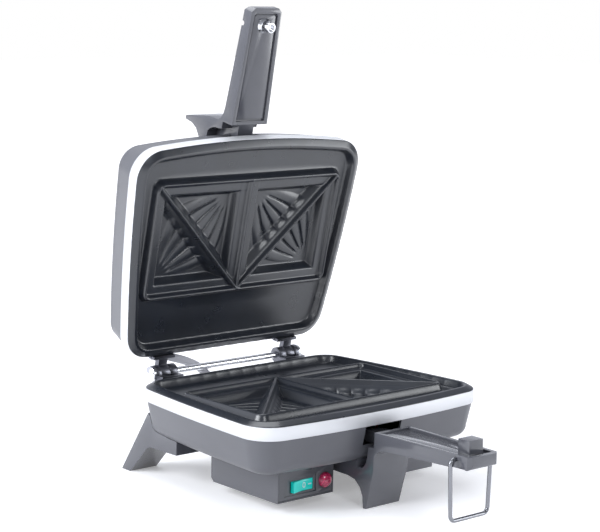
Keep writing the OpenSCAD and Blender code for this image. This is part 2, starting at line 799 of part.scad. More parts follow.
module rear_leg(s) {
  difference() {
    side_prism(leg_side, s * leg_x, rear_leg_w);
    housing_keep_out(skin);
    for (p = rear_leg_screws) {
      post(p[0], p[1], floor_z, leg_seat_z, 4.4);
      post(p[0], p[1], leg_seat_z - eps, bottom_z + 1, handle_screw_r + 0.2);
    }
  }
}

// ---------------------------------------------------------------- latch

latch_block_y = bail_y - 6.5;

module latch_block_solid() {
  block([-latch_block_w / 2, latch_block_w / 2], [latch_block_y, latch_block_y + latch_block_l],
        [panel_z, panel_z + latch_block_h]);
  post(0, bail_y, panel_z - 3.5, panel_z + eps, 3);
}

module peg_solid() {
  post(0, bail_y, panel_z - 2.8, panel_z + eps, 3);
  difference() {
    union() {
      post(0, bail_y, panel_z, panel_z + peg_l, peg_d / 2);
      translate([0, bail_y, panel_z])
        cylinder(r1 = 8, r2 = peg_d / 2, h = 3);
    }
    post(0, bail_y, panel_z + peg_l - 3, panel_z + peg_l + 1, peg_d / 2 - 2);
  }
}

bail_end_x = handle_tip_w / 2 - rail_w + 1.2;
bail_top_r = 5;
bail_low_r = 6;
bail_top = polar([bail_w / 2 - bail_top_r, -bail_top_r], bail_top_r, -bail_lean);
bail_low_z = -bail_len + bail_low_r;
bail_low_x = bail_top[0] - bail_low_r * cos(bail_lean)
  - (bail_top[1] - bail_low_z + bail_low_r * sin(bail_lean)) * tan(bail_lean);

// Centre line of the right half of the wire, from its end in the rail to the crossbar, as x and z
bail_half = concat(
  [[bail_end_x, 0]],
  arc([bail_w / 2 - bail_top_r, -bail_top_r], bail_top_r, 90, -bail_lean, 8),
  arc([bail_low_x, bail_low_z], bail_low_r, -bail_lean, -90, 8));

module bail_solid() {
  path = concat(bail_half, backwards([for (p = bail_half) flip(p)]));
  tube([for (p = path) [p[0], bail_y, p[1] - bail_drop]], bail_wire_d / 2, 16);
}

// ---------------------------------------------------------------- hinge

ear_gap = 0.5;
inner_ear = [ear_span / 2, ear_span / 2 + inner_ear_w];
lid_knuckle = [inner_ear[1] + ear_gap, inner_ear[1] + ear_gap + lid_knuckle_w];
outer_ear = [lid_knuckle[1] + ear_gap, lid_knuckle[1] + ear_gap + outer_ear_w];
flange_x = [inner_ear[0] - 1, outer_ear[1] + 1];
flange_t = 3;
flange_zs = [flange_z - 12.4, flange_z - 0.9];
arm_zs = [-6.8, -0.5];

// Knuckle and arm between two values of x
module ear(xs, r) {
  x_rod([(xs[0] + xs[1]) / 2, 0, 0], r, xs[1] - xs[0]);
  block(xs, [rear_y + 1, 0], arm_zs);
}

module hinge_flange() {
  difference() {
    block(flange_x, [rear_y + seat, rear_y + flange_t], flange_zs);
    for (x = hinge_screw_xs)
      y_rod([x, rear_y, hinge_screw_z], hinge_screw_r + 0.1, 12);
  }
  block([inner_ear[0], outer_ear[1]], [rear_y + seat, rear_y + flange_t], [flange_zs[1] - eps, arm_zs[1]]);
}

module base_hinge_solid() {
  difference() {
    union() {
      hinge_flange();
      ear(inner_ear, knuckle_r);
      ear(outer_ear, knuckle_r + 0.4);
    }
    x_rod([ear_span / 2 + 14, 0, 0], rod_d / 2 + 0.03, 40);
  }
}

module lid_hinge_solid() {
  difference() {
    union() {
      hinge_flange();
      ear(lid_knuckle, knuckle_r);
    }
    x_rod([ear_span / 2 + 14, 0, 0], rod_d / 2 + rod_play, 40);
  }
}

module hinge_screw_set() {
  head_y = rear_y + flange_t;
  for (x = hinge_screw_xs) {
    y_rod([x, head_y + 1.1, hinge_screw_z], 2.5, 2.2);
    y_rod([x, (head_y + 0.1 + rear_y - 7.5) / 2, hinge_screw_z], hinge_screw_r, head_y + 0.1 - rear_y + 7.5);
  }
}

nut_r = 8;
nut_l = 3;
nut_rise = 3;
nut_dome_r = (nut_r * nut_r + nut_rise * nut_rise) / (2 * nut_rise);
nut_steps = 8;
module cap_nut() {
  bore = rod_d / 2 + 0.03;
  top = nut_l + nut_rise;
  edge = asin(nut_r / nut_dome_r);
  translate([outer_ear[1] + 0.2, 0, 0])
    rotate([0, 90, 0])
      rotate_extrude()
        polygon([
          [bore, 0],
          [nut_r, 0],
          for (i = [0:nut_steps - 1])
            polar([0, top - nut_dome_r], nut_dome_r, 90 - edge * (1 - i / nut_steps)),
          [0, top],
          [0, nut_l],
          [bore, nut_l]
        ]);
}

// ---------------------------------------------------------------- leads

function unit(v) = v / norm(v);

// Smooth curve through the points, k steps to each span
function spline(p, k) = [for (i = [0:len(p) - 2], j = [0:k - (i < len(p) - 2 ? 1 : 0)])
  let (a = p[max(i - 1, 0)], b = p[i], c = p[i + 1], d = p[min(i + 2, len(p) - 1)], t = j / k)
  b + t * ((c - a) / 2 + t * ((2 * a - 5 * b + 4 * c - d) / 2 + t * (3 * b - a - 3 * c + d) / 2))];

// Round tube of radius r along path p
module tube(p, r, sides) {
  m = len(p);
  t = [for (i = [0:m - 1]) unit(p[min(i + 1, m - 1)] - p[max(i - 1, 0)])];
  side = cross(t[0], abs(t[0][0]) < 0.9 ? [1, 0, 0] : [0, 0, 1]);
  n = [for (i = 0, v = unit(side); i < m; i = i + 1, v = i < m ? unit(v - (v * t[i]) * t[i]) : v) v];
  points = [for (i = [0:m - 1]) let (b = cross(t[i], n[i]))
    for (j = [0:sides - 1]) p[i] + r * (cos(360 * j / sides) * n[i] + sin(360 * j / sides) * b)];
  faces = concat(
    [[for (j = [0:sides - 1]) j]],
    [[for (j = [sides - 1:-1:0]) (m - 1) * sides + j]],
    [for (i = [0:m - 2], j = [0:sides - 1]) [i * sides + j, (i + 1) * sides + j, (i + 1) * sides + (j + 1) % sides]],
    [for (i = [0:m - 2], j = [0:sides - 1])
      [i * sides + j, (i + 1) * sides + (j + 1) % sides, i * sides + (j + 1) % sides]]);
  polyhedron(points, faces);
}

// Point of the lid half in the base half's frame
function from_lid(x, y, z) = [x, lid_y(y, -z), lid_z(y, -z)];

sleeve_path = [
  from_lid(lid_entry[0], rear_y - 9, lid_entry[1]), from_lid(lid_entry[0], rear_y + 1, lid_entry[1]),
  [-71, 25, 15], [-60, 21, 10.5], [-38, 19.5, 3], [-22, 16, -6], [-13, 7, -19], [-10.5, -5, -28],
  [base_entry[0], rear_y + 1, base_entry[1]], [base_entry[0], rear_y - 9, base_entry[1]]];

module grommet(entry) {
  difference() {
    union() {
      y_rod([entry[0], rear_y - 1.1, entry[1]], grommet_r, 2);
      y_rod([entry[0], rear_y - 4.5, entry[1]], entry_r - seat, 7);
    }
    y_rod([entry[0], rear_y - 4, entry[1]], sleeve_d / 2 + 0.35, 14);
  }
}

// Leads inside the base: terminals to thermostat, thermostat to heater, heater to switch
thermostat_at = [30, rear_y - 40];
fuse_at = [-28, rear_y - 40];
lead_r = 1.4;
lead_z = reflector_z - 8;
lead_paths = [
  [[box_mid, term_y - 10, term_z + 6], [box_mid, term_y - 20, term_z + 12], [box_mid, box_front_y + box_l / 2, bottom_z - 6],
   [box_mid, box_front_y + box_l / 2, lead_z - 3], [box_mid - 8, rear_y - 72, lead_z],
   [thermostat_at[0] + 6, rear_y - 48, lead_z], [thermostat_at[0] + 3, thermostat_at[1], slab_z - 15.5]],
  [[rocker_x + 1.6, panel_back_y + 27, control_z], [-box_mid, box_front_y + 46, bottom_z - 12],
   [-box_mid, box_front_y + box_l / 2, bottom_z - 4], [-box_mid, box_front_y + box_l / 2, lead_z - 3],
   [-box_mid + 6, rear_y - 72, lead_z], [fuse_at[0] - 14, rear_y - 44, slab_z - 14],
   [fuse_at[0] - 13, fuse_at[1], slab_z - 5]]];

// ---------------------------------------------------------------- heating

heater_x0 = -(square_l - 22);
heater_x1 = square_l - 48;

module heater_solid() {
  h = heater_pitch / 2;
  r = heater_d / 2;
  for (s = [-1, 1]) {
    x_rod([(heater_x0 + heater_x1) / 2, array_y + s * h, heater_z], r, heater_x1 - heater_x0);
    x_rod([heater_x0 - 5, array_y + s * h, heater_z], 1.6, 10.02);
  }
  translate([heater_x1, array_y, heater_z])
    rotate(-90)
      rotate_extrude(angle = 180)
        translate([h, 0])
          circle(r);
}

module clamp_set() {
  for (x = strap_xs) {
    difference() {
      translate([x - 5, array_y - heater_pitch / 2 - 8, strap_z - 1.2])
        cube([10, heater_pitch + 16, 1.2]);
      post(x, array_y, strap_z - 2, strap_z + 1, 1.7);
    }
    post(x, array_y, strap_z - 3, strap_z - 1.2, 3);
    post(x, array_y, strap_z - 1.21, strap_z + 7, 1.5);
  }
}

module reflector_solid() {
  t = reflector_t;
  x = square_l - 5;
  y = array_w / 2 + 3;
  difference() {
    union() {
      difference() {
        block([-x, x], [array_y - y, array_y + y], [reflector_z - t, reflector_z + 6]);
        block([-x + t, x - t], [array_y - y + t, array_y + y - t], [reflector_z, reflector_z + 7]);
      }
      for (p = reflector_screws)
        block([p[0] - 6, p[0] + 6], [p[1] - (p[1] > array_y ? 9 : 5), p[1] + (p[1] > array_y ? 5 : 9)],
              [reflector_z - t, reflector_z]);
    }
    for (p = reflector_screws)
      post(p[0], p[1], reflector_z - 2, reflector_z + 1, 1.8);
  }
}

module reflector_screw_set() {
  z = reflector_z - reflector_t;
  for (p = reflector_screws) {
    post(p[0], p[1], z - 1.6, z, 3);
    post(p[0], p[1], z - eps, z + 9, 1.5);
  }
}

module housing_screw_set() {
  for (p = housing_screws)
    screw_up(p[0], p[1], bottom_z, 24, housing_screw_r);
}

// ---------------------------------------------------------------- the pieces

module base_plate() color("#3b424b") at_base() plate_solid();
module base_band() color("#e4e7ec") at_base() band_solid();
module base_housing() color("#2a2b30") at_base() housing_solid(true, base_entry, true);
module base_heater() color("#8d8a86") at_base() heater_solid();
module base_heater_clamps() color("#b5b8bd") at_base() clamp_set();
module base_reflector() color("#cfd2d6") at_base() reflector_solid();
module base_reflector_screws() color("#b9bcc2") at_base() reflector_screw_set();
module base_housing_screws() color("#b9bcc2") at_base() housing_screw_set();

module thermostat() color("#8a6f4c") at_base() {
  post(thermostat_at[0], thermostat_at[1], slab_z - 10, slab_z, 8.5);
  for (dx = [-4, 4])
    block([thermostat_at[0] + dx - 0.4, thermostat_at[0] + dx + 0.4], [thermostat_at[1] - 3, thermostat_at[1] + 3],
          [slab_z - 16, slab_z - 10 + eps]);
}

module thermal_fuse() color("#d8d2c0") at_base() {
  x_rod([fuse_at[0], fuse_at[1], slab_z - 3.6], 2.6, 18);
  x_rod([fuse_at[0], fuse_at[1], slab_z - 3.6], 0.8, 30);
  block([fuse_at[0] - 4, fuse_at[0] + 4], [fuse_at[1] - 5, fuse_at[1] + 5], [slab_z - 1.6, slab_z]);
}

module control_box() color("#2a2b30") at_base() difference() {
  box_shell(-1);
  block([-box_mid - box_w / 2 + frame_w, -box_mid + box_w / 2 - frame_w], [box_front_y - 1, box_front_y + box_t + 0.02],
        [box_low_z + frame_w, bottom_z - frame_w]);
}
module control_panel() color("#1d1e22") at_base() panel_solid();
module switch_body() color("#17181b") at_base() switch_solid();
module switch_rocker() color("#1fc4a6") at_base() rocker_solid();
module indicator_lens() color("#8c0b22") at_base() lens_solid();
module lamp_holder() color("#d9d6cc") at_base() lamp_holder_solid();
module terminal_box() color("#2a2b30") at_base() difference() {
  box_shell(1);
  y_rod([box_mid, box_back_y - 1, gland_z], 5.6, 8);
}
module terminal_block() color("#e6e2d6") at_base() terminal_solid();
module cord_gland() color("#222327") at_base() gland_solid();
module box_screws() color("#b9bcc2") at_base() for (p = all_box_screws) {
  post(p[0], p[1], inside_z, inside_z + 1.8, 3);
  post(p[0], p[1], bottom_z - box_boss_h + 2, inside_z + eps, box_screw_r);
}

module rear_leg_left() color("#232429") at_base() rear_leg(-1);
module rear_leg_right() color("#232429") at_base() rear_leg(1);
module rear_leg_screws() color("#b9bcc2") at_base() for (p = rear_leg_screws)
  screw_up(p[0], p[1], leg_seat_z, 20, handle_screw_r);
module base_handle() color("#232429") at_base() handle_solid(false);
module base_handle_screws() color("#b9bcc2") at_base() for (p = handle_screws)
  screw_up(p[0], p[1], handle_seat_z, 21, handle_screw_r);
module latch_block() color("#232429") at_base() latch_block_solid();
module bail() color("#a9adb3") at_base() bail_solid();

module hinge_rod() color("#d5d8dc") at_base() x_rod([0, 0, 0], rod_d / 2, 2 * (outer_ear[1] + nut_l - 0.2));
module hinge_cap_nuts() color("#d5d8dc") at_base() for (m = [0, 1]) mirror([m, 0, 0]) cap_nut();
module base_hinge_left() color("#c9ccd1") at_base() mirror([1, 0, 0]) base_hinge_solid();
module base_hinge_right() color("#c9ccd1") at_base() base_hinge_solid();
module base_hinge_screws() color("#b9bcc2") at_base() hinge_screw_set();
module inner_leads() color("#b8503c") at_base() for (p = lead_paths) tube(spline(p, 6), lead_r, 8);

module lid_plate() color("#3b424b") at_lid() plate_solid();
module lid_band() color("#e4e7ec") at_lid() band_solid();
module lid_housing() color("#2a2b30") at_lid() housing_solid(false, lid_entry, true);
module lid_heater() color("#8d8a86") at_lid() heater_solid();
module lid_heater_clamps() color("#b5b8bd") at_lid() clamp_set();
module lid_reflector() color("#cfd2d6") at_lid() reflector_solid();
module lid_reflector_screws() color("#b9bcc2") at_lid() reflector_screw_set();
module lid_housing_screws() color("#b9bcc2") at_lid() housing_screw_set();
module lid_handle() color("#232429") at_lid() handle_solid(true);
module lid_handle_screws() color("#b9bcc2") at_lid() for (p = handle_screws)
  screw_up(p[0], p[1], handle_seat_z, 21, handle_screw_r);
module lid_peg() color("#c8ccd2") at_lid() peg_solid();
module lid_hinge_left() color("#c9ccd1") at_lid() mirror([1, 0, 0]) lid_hinge_solid();
module lid_hinge_right() color("#c9ccd1") at_lid() lid_hinge_solid();
module lid_hinge_screws() color("#b9bcc2") at_lid() hinge_screw_set();

module lead_sleeve() color("#b9bcc0") at_base() tube(spline(sleeve_path, 4), sleeve_d / 2, 12);
module base_grommet() color("#26272b") at_base() grommet(base_entry);
module lid_grommet() color("#26272b") at_lid() grommet(lid_entry);

base_plate();
base_band();
base_housing();
base_heater();
base_heater_clamps();
base_reflector();
base_reflector_screws();
base_housing_screws();
thermostat();
thermal_fuse();
control_box();
control_panel();
switch_body();
switch_rocker();
indicator_lens();
lamp_holder();
terminal_box();
terminal_block();
cord_gland();
box_screws();
rear_leg_left();
rear_leg_right();
rear_leg_screws();
base_handle();
base_handle_screws();
latch_block();
bail();
hinge_rod();
hinge_cap_nuts();
base_hinge_left();
base_hinge_right();
base_hinge_screws();
inner_leads();
lid_plate();
lid_band();
lid_housing();
lid_heater();
lid_heater_clamps();
lid_reflector();
lid_reflector_screws();
lid_housing_screws();
lid_handle();
lid_handle_screws();
lid_peg();
lid_hinge_left();
lid_hinge_right();
lid_hinge_screws();
lead_sleeve();
base_grommet();
lid_grommet();
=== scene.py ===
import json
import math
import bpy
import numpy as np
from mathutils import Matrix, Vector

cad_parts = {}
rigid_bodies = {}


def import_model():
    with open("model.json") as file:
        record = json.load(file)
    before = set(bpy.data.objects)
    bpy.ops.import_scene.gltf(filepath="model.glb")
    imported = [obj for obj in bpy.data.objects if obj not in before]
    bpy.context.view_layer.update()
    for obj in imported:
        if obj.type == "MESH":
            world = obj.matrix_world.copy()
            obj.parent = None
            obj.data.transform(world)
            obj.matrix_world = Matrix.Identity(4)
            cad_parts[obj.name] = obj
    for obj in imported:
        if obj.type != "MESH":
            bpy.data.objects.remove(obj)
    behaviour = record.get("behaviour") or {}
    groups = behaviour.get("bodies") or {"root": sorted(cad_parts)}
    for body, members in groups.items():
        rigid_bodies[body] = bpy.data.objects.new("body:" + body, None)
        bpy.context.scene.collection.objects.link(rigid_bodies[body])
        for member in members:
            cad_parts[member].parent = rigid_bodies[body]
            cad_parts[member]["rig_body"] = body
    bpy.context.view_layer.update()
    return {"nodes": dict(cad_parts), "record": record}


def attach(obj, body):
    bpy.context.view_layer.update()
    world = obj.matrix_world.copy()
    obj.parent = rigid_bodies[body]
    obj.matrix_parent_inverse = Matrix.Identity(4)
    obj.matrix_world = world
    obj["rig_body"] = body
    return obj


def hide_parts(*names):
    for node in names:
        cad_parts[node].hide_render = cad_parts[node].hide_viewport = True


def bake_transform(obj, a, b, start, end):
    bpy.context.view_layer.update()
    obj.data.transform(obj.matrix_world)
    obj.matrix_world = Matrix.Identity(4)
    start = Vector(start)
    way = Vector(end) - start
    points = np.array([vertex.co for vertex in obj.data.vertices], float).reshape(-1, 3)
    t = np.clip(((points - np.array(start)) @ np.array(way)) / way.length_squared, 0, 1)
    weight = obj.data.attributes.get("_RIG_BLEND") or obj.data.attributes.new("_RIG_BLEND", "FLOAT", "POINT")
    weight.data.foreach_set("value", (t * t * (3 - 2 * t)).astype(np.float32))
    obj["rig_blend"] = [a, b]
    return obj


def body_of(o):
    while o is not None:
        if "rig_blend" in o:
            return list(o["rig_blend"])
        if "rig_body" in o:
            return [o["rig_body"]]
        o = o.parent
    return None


bl_info = {
    "name": "Sandwich toaster dressing",
    "version": (1, 0, 0),
    "blender": (4, 5, 0),
    "location": "3D View > Sidebar > Toaster",
    "description": "Visible surfaces and finishes of an open sandwich toaster, round its CAD solids",
    "category": "Object",
}

import bmesh
import bpy
import numpy as np
from mathutils import Matrix, Vector

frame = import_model()

MM = 0.001
JOINTS = {j["name"]: j for j in frame["record"]["behaviour"]["joints"]}
HINGE = np.array(JOINTS["lid_hinge"]["pos_m"])
BAIL_PIVOT = np.array(JOINTS["bail_pivot"]["pos_m"])
ROCKER_PIVOT = np.array(JOINTS["rocker_pivot"]["pos_m"])
LID_ANGLE = -math.radians(JOINTS["lid_hinge"]["range_deg"][0])

# Heights of the base half from the hinge axis, in millimetres
CREST_Z = -0.4
FLANGE_Z = -4.6
BAND_LOW_Z = -17.6
TURN_Z = -42.0
BOTTOM_Z = -54.0
FIELD_Z = -8.6
SLAB_Z = -11.6
LEDGE_Z = -5.4
POCKET_Z = -15.4

# Its plan: widths and lines of rear and front, the bow's foremost point, corner radii and the sides' bow
REAR_W, FRONT_W = 257.0, 298.0
REAR_Y, FRONT_Y, NOSE_Y = -18.0, -239.0, -249.0
REAR_R, FRONT_R = 28.0, 30.0
SIDE_BOW = 3.5
LEAN = math.atan((FRONT_W - REAR_W) / 2 / (REAR_Y - FRONT_Y))
BOW_R = ((FRONT_W / 2) ** 2 + (FRONT_Y - NOSE_Y) ** 2) / (2 * (FRONT_Y - NOSE_Y))
BOW_Y = NOSE_Y + BOW_R
SIDE_R = (((REAR_Y - FRONT_Y) / math.cos(LEAN) / 2) ** 2 + SIDE_BOW ** 2) / (2 * SIDE_BOW)
SIDE_C = np.array([-(REAR_W + FRONT_W) / 4 + math.cos(LEAN) * (SIDE_R - SIDE_BOW),
                   (REAR_Y + FRONT_Y) / 2 - math.sin(LEAN) * (SIDE_R - SIDE_BOW)])
NOTCH_X, NOTCH_Z = 23.8, -37.3
HUB = np.array([0.0, -140.0])

# The two bread squares side by side: width of one, depth, middle line, corner radius
SQUARE, ARRAY_D, ARRAY_Y, ARRAY_R = 120.0, 121.0, -145.0, 7.0

# From the line of a ridge: where the pocket's wall starts, and its run; the same for the diagonal
LEDGE_W, WALL_RUN = 12.4, 5.0
DIAGONAL_W, DIAGONAL_RUN = 3.4, 7.5

# Shell in a pocket: its root from the square corner, its lobes, and the length they grow over
SHELL_IN, LOBES, SHELL_L = 18.0, 5, 75.0


# ------------------------------------------------------------------ sizes and colours

def length(name, description, default):
    return bpy.props.FloatProperty(name=name, description=description, default=default,
                                   min=0.0, subtype="DISTANCE", unit="LENGTH")


def colour(name, description, default):
    return bpy.props.FloatVectorProperty(name=name, description=description, default=default,
                                         min=0.0, max=1.0, size=3, subtype="COLOR")


class ToasterSizes(bpy.types.PropertyGroup):
    edge: length("Moulding edge", "Rounding of the edges of handles, legs and boxes", 0.0012)
    small_edge: length("Small edge", "Rounding of the edges of brackets and small parts", 0.0005)
    rib: length("Rib height", "Height of the shell's lobes in the pockets", 0.0016)
    ridge: length("Ridge width", "Half width of the crest of the sealing ridges", 0.0010)
    wire: length("Bail wire", "Diameter of the bail's wire", 0.004)
    sleeve: length("Lead sleeve", "Diameter of the sleeve across the hinge", 0.009)


class ToasterColours(bpy.types.PropertyGroup):
    plate: colour("Plate coating", "Non-stick coating of the cooking plates", (0.012, 0.015, 0.022))
    housing: colour("Housings", "Moulded housings and boxes", (0.108, 0.110, 0.124))
    handle: colour("Handles", "Handles and legs", (0.088, 0.090, 0.105))
    band: colour("Bands", "Polished bands", (0.76, 0.77, 0.795))
    rocker: colour("Rocker", "Rocker of the switch", (0.008, 0.640, 0.560))
    lens: colour("Lens", "Lens of the lamp", (0.540, 0.027, 0.104))
    wire: colour("Wire", "Bail of the latch", (0.25, 0.255, 0.275))
    floor: colour("Floor", "Floor of the stage", (0.93, 0.93, 0.95))


def sizes():
    return bpy.context.scene.toaster_sizes


def colours(name):
    """The named colour as a plain tuple."""
    return tuple(getattr(bpy.context.scene.toaster_colours, name))


# ------------------------------------------------------------------ shader expressions

class Value:
    """A socket of a shader graph; arithmetic on it adds Math nodes."""

    def __init__(self, graph, socket):
        self.graph = graph
        self.socket = socket

    def math(self, operation, *others):
        return self.graph.node("ShaderNodeMath", {"operation": operation},
                               **{str(i): v for i, v in enumerate((self, *others))})

    def __add__(self, other):
        return self.math("ADD", other)

    def __mul__(self, other):
        return self.math("MULTIPLY", other)

    def __sub__(self, other):
        return self.math("SUBTRACT", other)

    def __rsub__(self, other):
        return self.graph.node("ShaderNodeMath", {"operation": "SUBTRACT"}, **{"0": other, "1": self})

    __radd__ = __add__
    __rmul__ = __mul__

    def step(self, low, high):
        """Smooth step from 0 at low to 1 at high."""
        return self.graph.node("ShaderNodeMapRange", {"interpolation_type": "SMOOTHSTEP"},
                               **{"Value": self, "From Min": low, "From Max": high})


class Graph:
    """A new material whose Principled shader is fed by expressions."""

    def __init__(self, name):
        self.material = bpy.data.materials.new(name)
        self.material.use_nodes = True
        self.tree = self.material.node_tree
        self.tree.nodes.clear()
        self.output = self.tree.nodes.new("ShaderNodeOutputMaterial")

    def put(self, node, name, value):
        """Sets or links the input of that name or number."""
        socket = node.inputs[int(name)] if name.isdigit() else node.inputs[name]
        if isinstance(value, Value):
            self.tree.links.new(value.socket, socket)
        elif isinstance(value, (tuple, list)) and socket.type == "RGBA" and len(value) == 3:
            socket.default_value = (*value, 1.0)
        else:
            socket.default_value = value

    def node(self, kind, settings=None, output=0, **inputs):
        """A node of any kind: its settings first, then the values or links of its inputs."""
        node = self.tree.nodes.new(kind)
        for key, value in (settings or {}).items():
            setattr(node, key, value)
        for name, value in inputs.items():
            self.put(node, name, value)
        return Value(self, node.outputs[output])

    def coords(self, stretch=(1.0, 1.0, 1.0)):
        place = self.node("ShaderNodeTexCoord", output="Object")
        return self.node("ShaderNodeMapping", Vector=place, Scale=stretch)

    def noise(self, scale, detail=3.0, stretch=(1.0, 1.0, 1.0)):
        return self.node("ShaderNodeTexNoise", output="Fac", Vector=self.coords(stretch), Scale=scale,
                         Detail=detail)

    def mix(self, factor, a, b):
        return self.node("ShaderNodeMix", {"data_type": "RGBA"}, output=2, **{"0": factor, "6": a, "7": b})

    def bump(self, height, distance, strength=1.0):
        return self.node("ShaderNodeBump", Height=height, Distance=distance, Strength=strength)

    def finish(self, **inputs):
        shader = self.node("ShaderNodeBsdfPrincipled", **{k.replace("_", " "): v for k, v in inputs.items()})
        self.tree.links.new(shader.socket, self.output.inputs["Surface"])
        return self.material


def shade(c, k):
    """The colour made k times as light."""
    return tuple(min(1.0, v * k) for v in c)


MATERIALS = {}


def material(name):
    """The finish of that name, made on first use."""
    if name not in MATERIALS:
        MATERIALS[name] = FINISHES[name]()
    return MATERIALS[name]


def coated_metal():
    """Slate non-stick coating: fine orange peel, faint clouds, duller where it has been wiped."""
    g = Graph("coated_metal")
    c = colours("plate")
    cloud = g.noise(28.0, 4.0)
    wipe = g.noise(60.0, 3.0, (1.0, 0.25, 1.0))
    base = g.mix(cloud.step(0.3, 0.7), shade(c, 0.85), shade(c, 1.15))
    base = g.mix(g.noise(2600.0, 2.0).step(0.60, 0.80) * 0.06, base, shade(c, 2.0))
    peel = g.noise(1500.0, 2.0)
    return g.finish(Base_Color=base, Roughness=0.24 + 0.10 * wipe, Normal=g.bump(peel, 0.00003, 0.12),
                    Metallic=0.0, Specular_IOR_Level=0.9)


def polished_band():
    """Polished sheet metal with hair-fine lines along the band."""
    g = Graph("polished_band")
    c = colours("band")
    lines = g.noise(900.0, 2.0, (0.02, 0.02, 1.0))
    haze = g.noise(20.0, 3.0)
    base = g.mix(haze, shade(c, 0.97), c)
    return g.finish(Base_Color=base, Metallic=0.50, Roughness=0.44 + 0.10 * lines,
                    Normal=g.bump(lines, 0.00001, 0.2))


def moulded(name, c, rough, grain, depth, coat=0.0, spec=0.5):
    """Moulded plastic: spark-eroded grain, faint flow marks and small handling scuffs."""
    g = Graph(name)
    flow = g.noise(14.0, 3.0, (1.0, 0.6, 1.4))
    fine = g.noise(grain, 2.0)
    scuff = g.noise(170.0, 4.0, (1.0, 0.18, 0.6)).step(0.66, 0.80)
    base = g.mix(flow.step(0.25, 0.75), shade(c, 0.94), shade(c, 1.06))
    base = g.mix(scuff * 0.10, base, shade(c, 1.7))
    return g.finish(Base_Color=base, Roughness=rough - 0.04 + 0.08 * fine + 0.05 * scuff,
                    Normal=g.bump(fine, depth, 0.3), Specular_IOR_Level=spec, Coat_Weight=coat,
                    Coat_Roughness=0.08)


def plated(name, c, rough, lines=(1.0, 1.0, 1.0)):
    """Bright metal: drawing lines, a faint haze and a few pits."""
    g = Graph(name)
    drawn = g.noise(700.0, 3.0, lines)
    haze = g.noise(45.0, 3.0)
    pits = g.noise(1900.0, 1.0).step(0.70, 0.80)
    base = g.mix(haze, shade(c, 0.93), shade(c, 1.04))
    base = g.mix(pits * 0.2, base, shade(c, 0.6))
    return g.finish(Base_Color=base, Metallic=1.0, Roughness=rough + 0.12 * drawn,
                    Normal=g.bump(drawn, 0.00002, 0.3))


def rocker_plastic():
    """Translucent coloured plastic, glossy, faintly clouded in tone."""
    g = Graph("rocker_plastic")
    c = colours("rocker")
    cloud = g.noise(90.0, 2.0)
    fine = g.noise(1200.0, 2.0)
    base = g.mix(cloud, shade(c, 0.9), shade(c, 1.12))
    # Emission in the rocker's own colour is a painted glow that lightens it; the rocker holds no lamp.
    return g.finish(Base_Color=base, Roughness=0.16 + 0.06 * fine, Normal=g.bump(fine, 0.00002, 0.2),
                    Coat_Weight=0.4, Coat_Roughness=0.06, Emission_Color=base, Emission_Strength=0.16)


def lens_plastic():
    """Dark red lens with a faint inner grid of diffusing prisms."""
    g = Graph("lens_plastic")
    c = colours("lens")
    prisms = g.node("ShaderNodeTexVoronoi", {"distance": "EUCLIDEAN"}, output="Distance",
                    Vector=g.coords(), Scale=650.0)
    base = g.mix(prisms.step(0.0, 0.7), shade(c, 1.6), shade(c, 0.7))
    return g.finish(Base_Color=base, Roughness=0.10 + 0.05 * prisms, Coat_Weight=0.6, Coat_Roughness=0.04,
                    Normal=g.bump(prisms, 0.00006, 0.25))


def pale_part(name, c):
    """Pale insulating ceramic or resin with a dusty grain."""
    g = Graph(name)
    dust = g.noise(320.0, 4.0)
    stain = g.noise(40.0, 3.0).step(0.45, 0.8)
    base = g.mix(stain * 0.5, c, shade(c, 0.75))
    return g.finish(Base_Color=base, Roughness=0.55 + 0.2 * dust, Normal=g.bump(dust, 0.00005, 0.4))


def heated_steel():
    """Heater sheath: straw and blue temper colours over dull steel."""
    g = Graph("heated_steel")
    temper = g.noise(35.0, 3.0)
    fine = g.noise(900.0, 3.0, (0.1, 1.0, 1.0))
    base = g.mix(temper.step(0.35, 0.65), (0.26, 0.22, 0.17), (0.17, 0.18, 0.24))
    return g.finish(Base_Color=base, Metallic=1.0, Roughness=0.38 + 0.15 * fine,
                    Normal=g.bump(fine, 0.00002, 0.3))


def sleeve_weave():
    """Braided glass-fibre sleeve: two families of threads that cross round the tube, on its UV map."""
    g = Graph("sleeve_weave")
    place = g.node("ShaderNodeUVMap", {"uv_map": "along"}, output="UV")
    parts = g.tree.nodes.new("ShaderNodeSeparateXYZ")
    g.tree.links.new(place.socket, parts.inputs[0])
    round_way = Value(g, parts.outputs[0])
    along = Value(g, parts.outputs[1])
    one = (round_way * 14.0 + along * 420.0).math("SINE")
    two = (round_way * 14.0 - along * 420.0).math("SINE")
    thread = one * two
    dust = g.noise(260.0, 3.0)
    base = g.mix(thread.step(-0.8, 0.8), (0.40, 0.40, 0.43), (0.66, 0.66, 0.70))
    base = g.mix(dust * 0.3, base, (0.45, 0.45, 0.48))
    return g.finish(Base_Color=base, Roughness=0.45 + 0.15 * dust, Normal=g.bump(thread, 0.0002, 0.5))


def dark_rubber(name="dark_rubber", c=(0.025, 0.025, 0.028)):
    """Dull rubber or soft covering with a faint bloom."""
    g = Graph(name)
    fine = g.noise(800.0, 3.0)
    bloom = g.noise(50.0, 3.0)
    base = g.mix(bloom.step(0.4, 0.8), c, shade(c, 1.8))
    return g.finish(Base_Color=base, Roughness=0.55 + 0.2 * fine, Normal=g.bump(fine, 0.00004, 0.4))


def mark_paint():
    """White pad-printed ink, slightly worn."""
    g = Graph("mark_paint")
    worn = g.noise(900.0, 3.0).step(0.62, 0.8)
    base = g.mix(worn, (0.82, 0.82, 0.84), (0.5, 0.5, 0.52))
    return g.finish(Base_Color=base, Roughness=0.5 + 0.2 * worn)


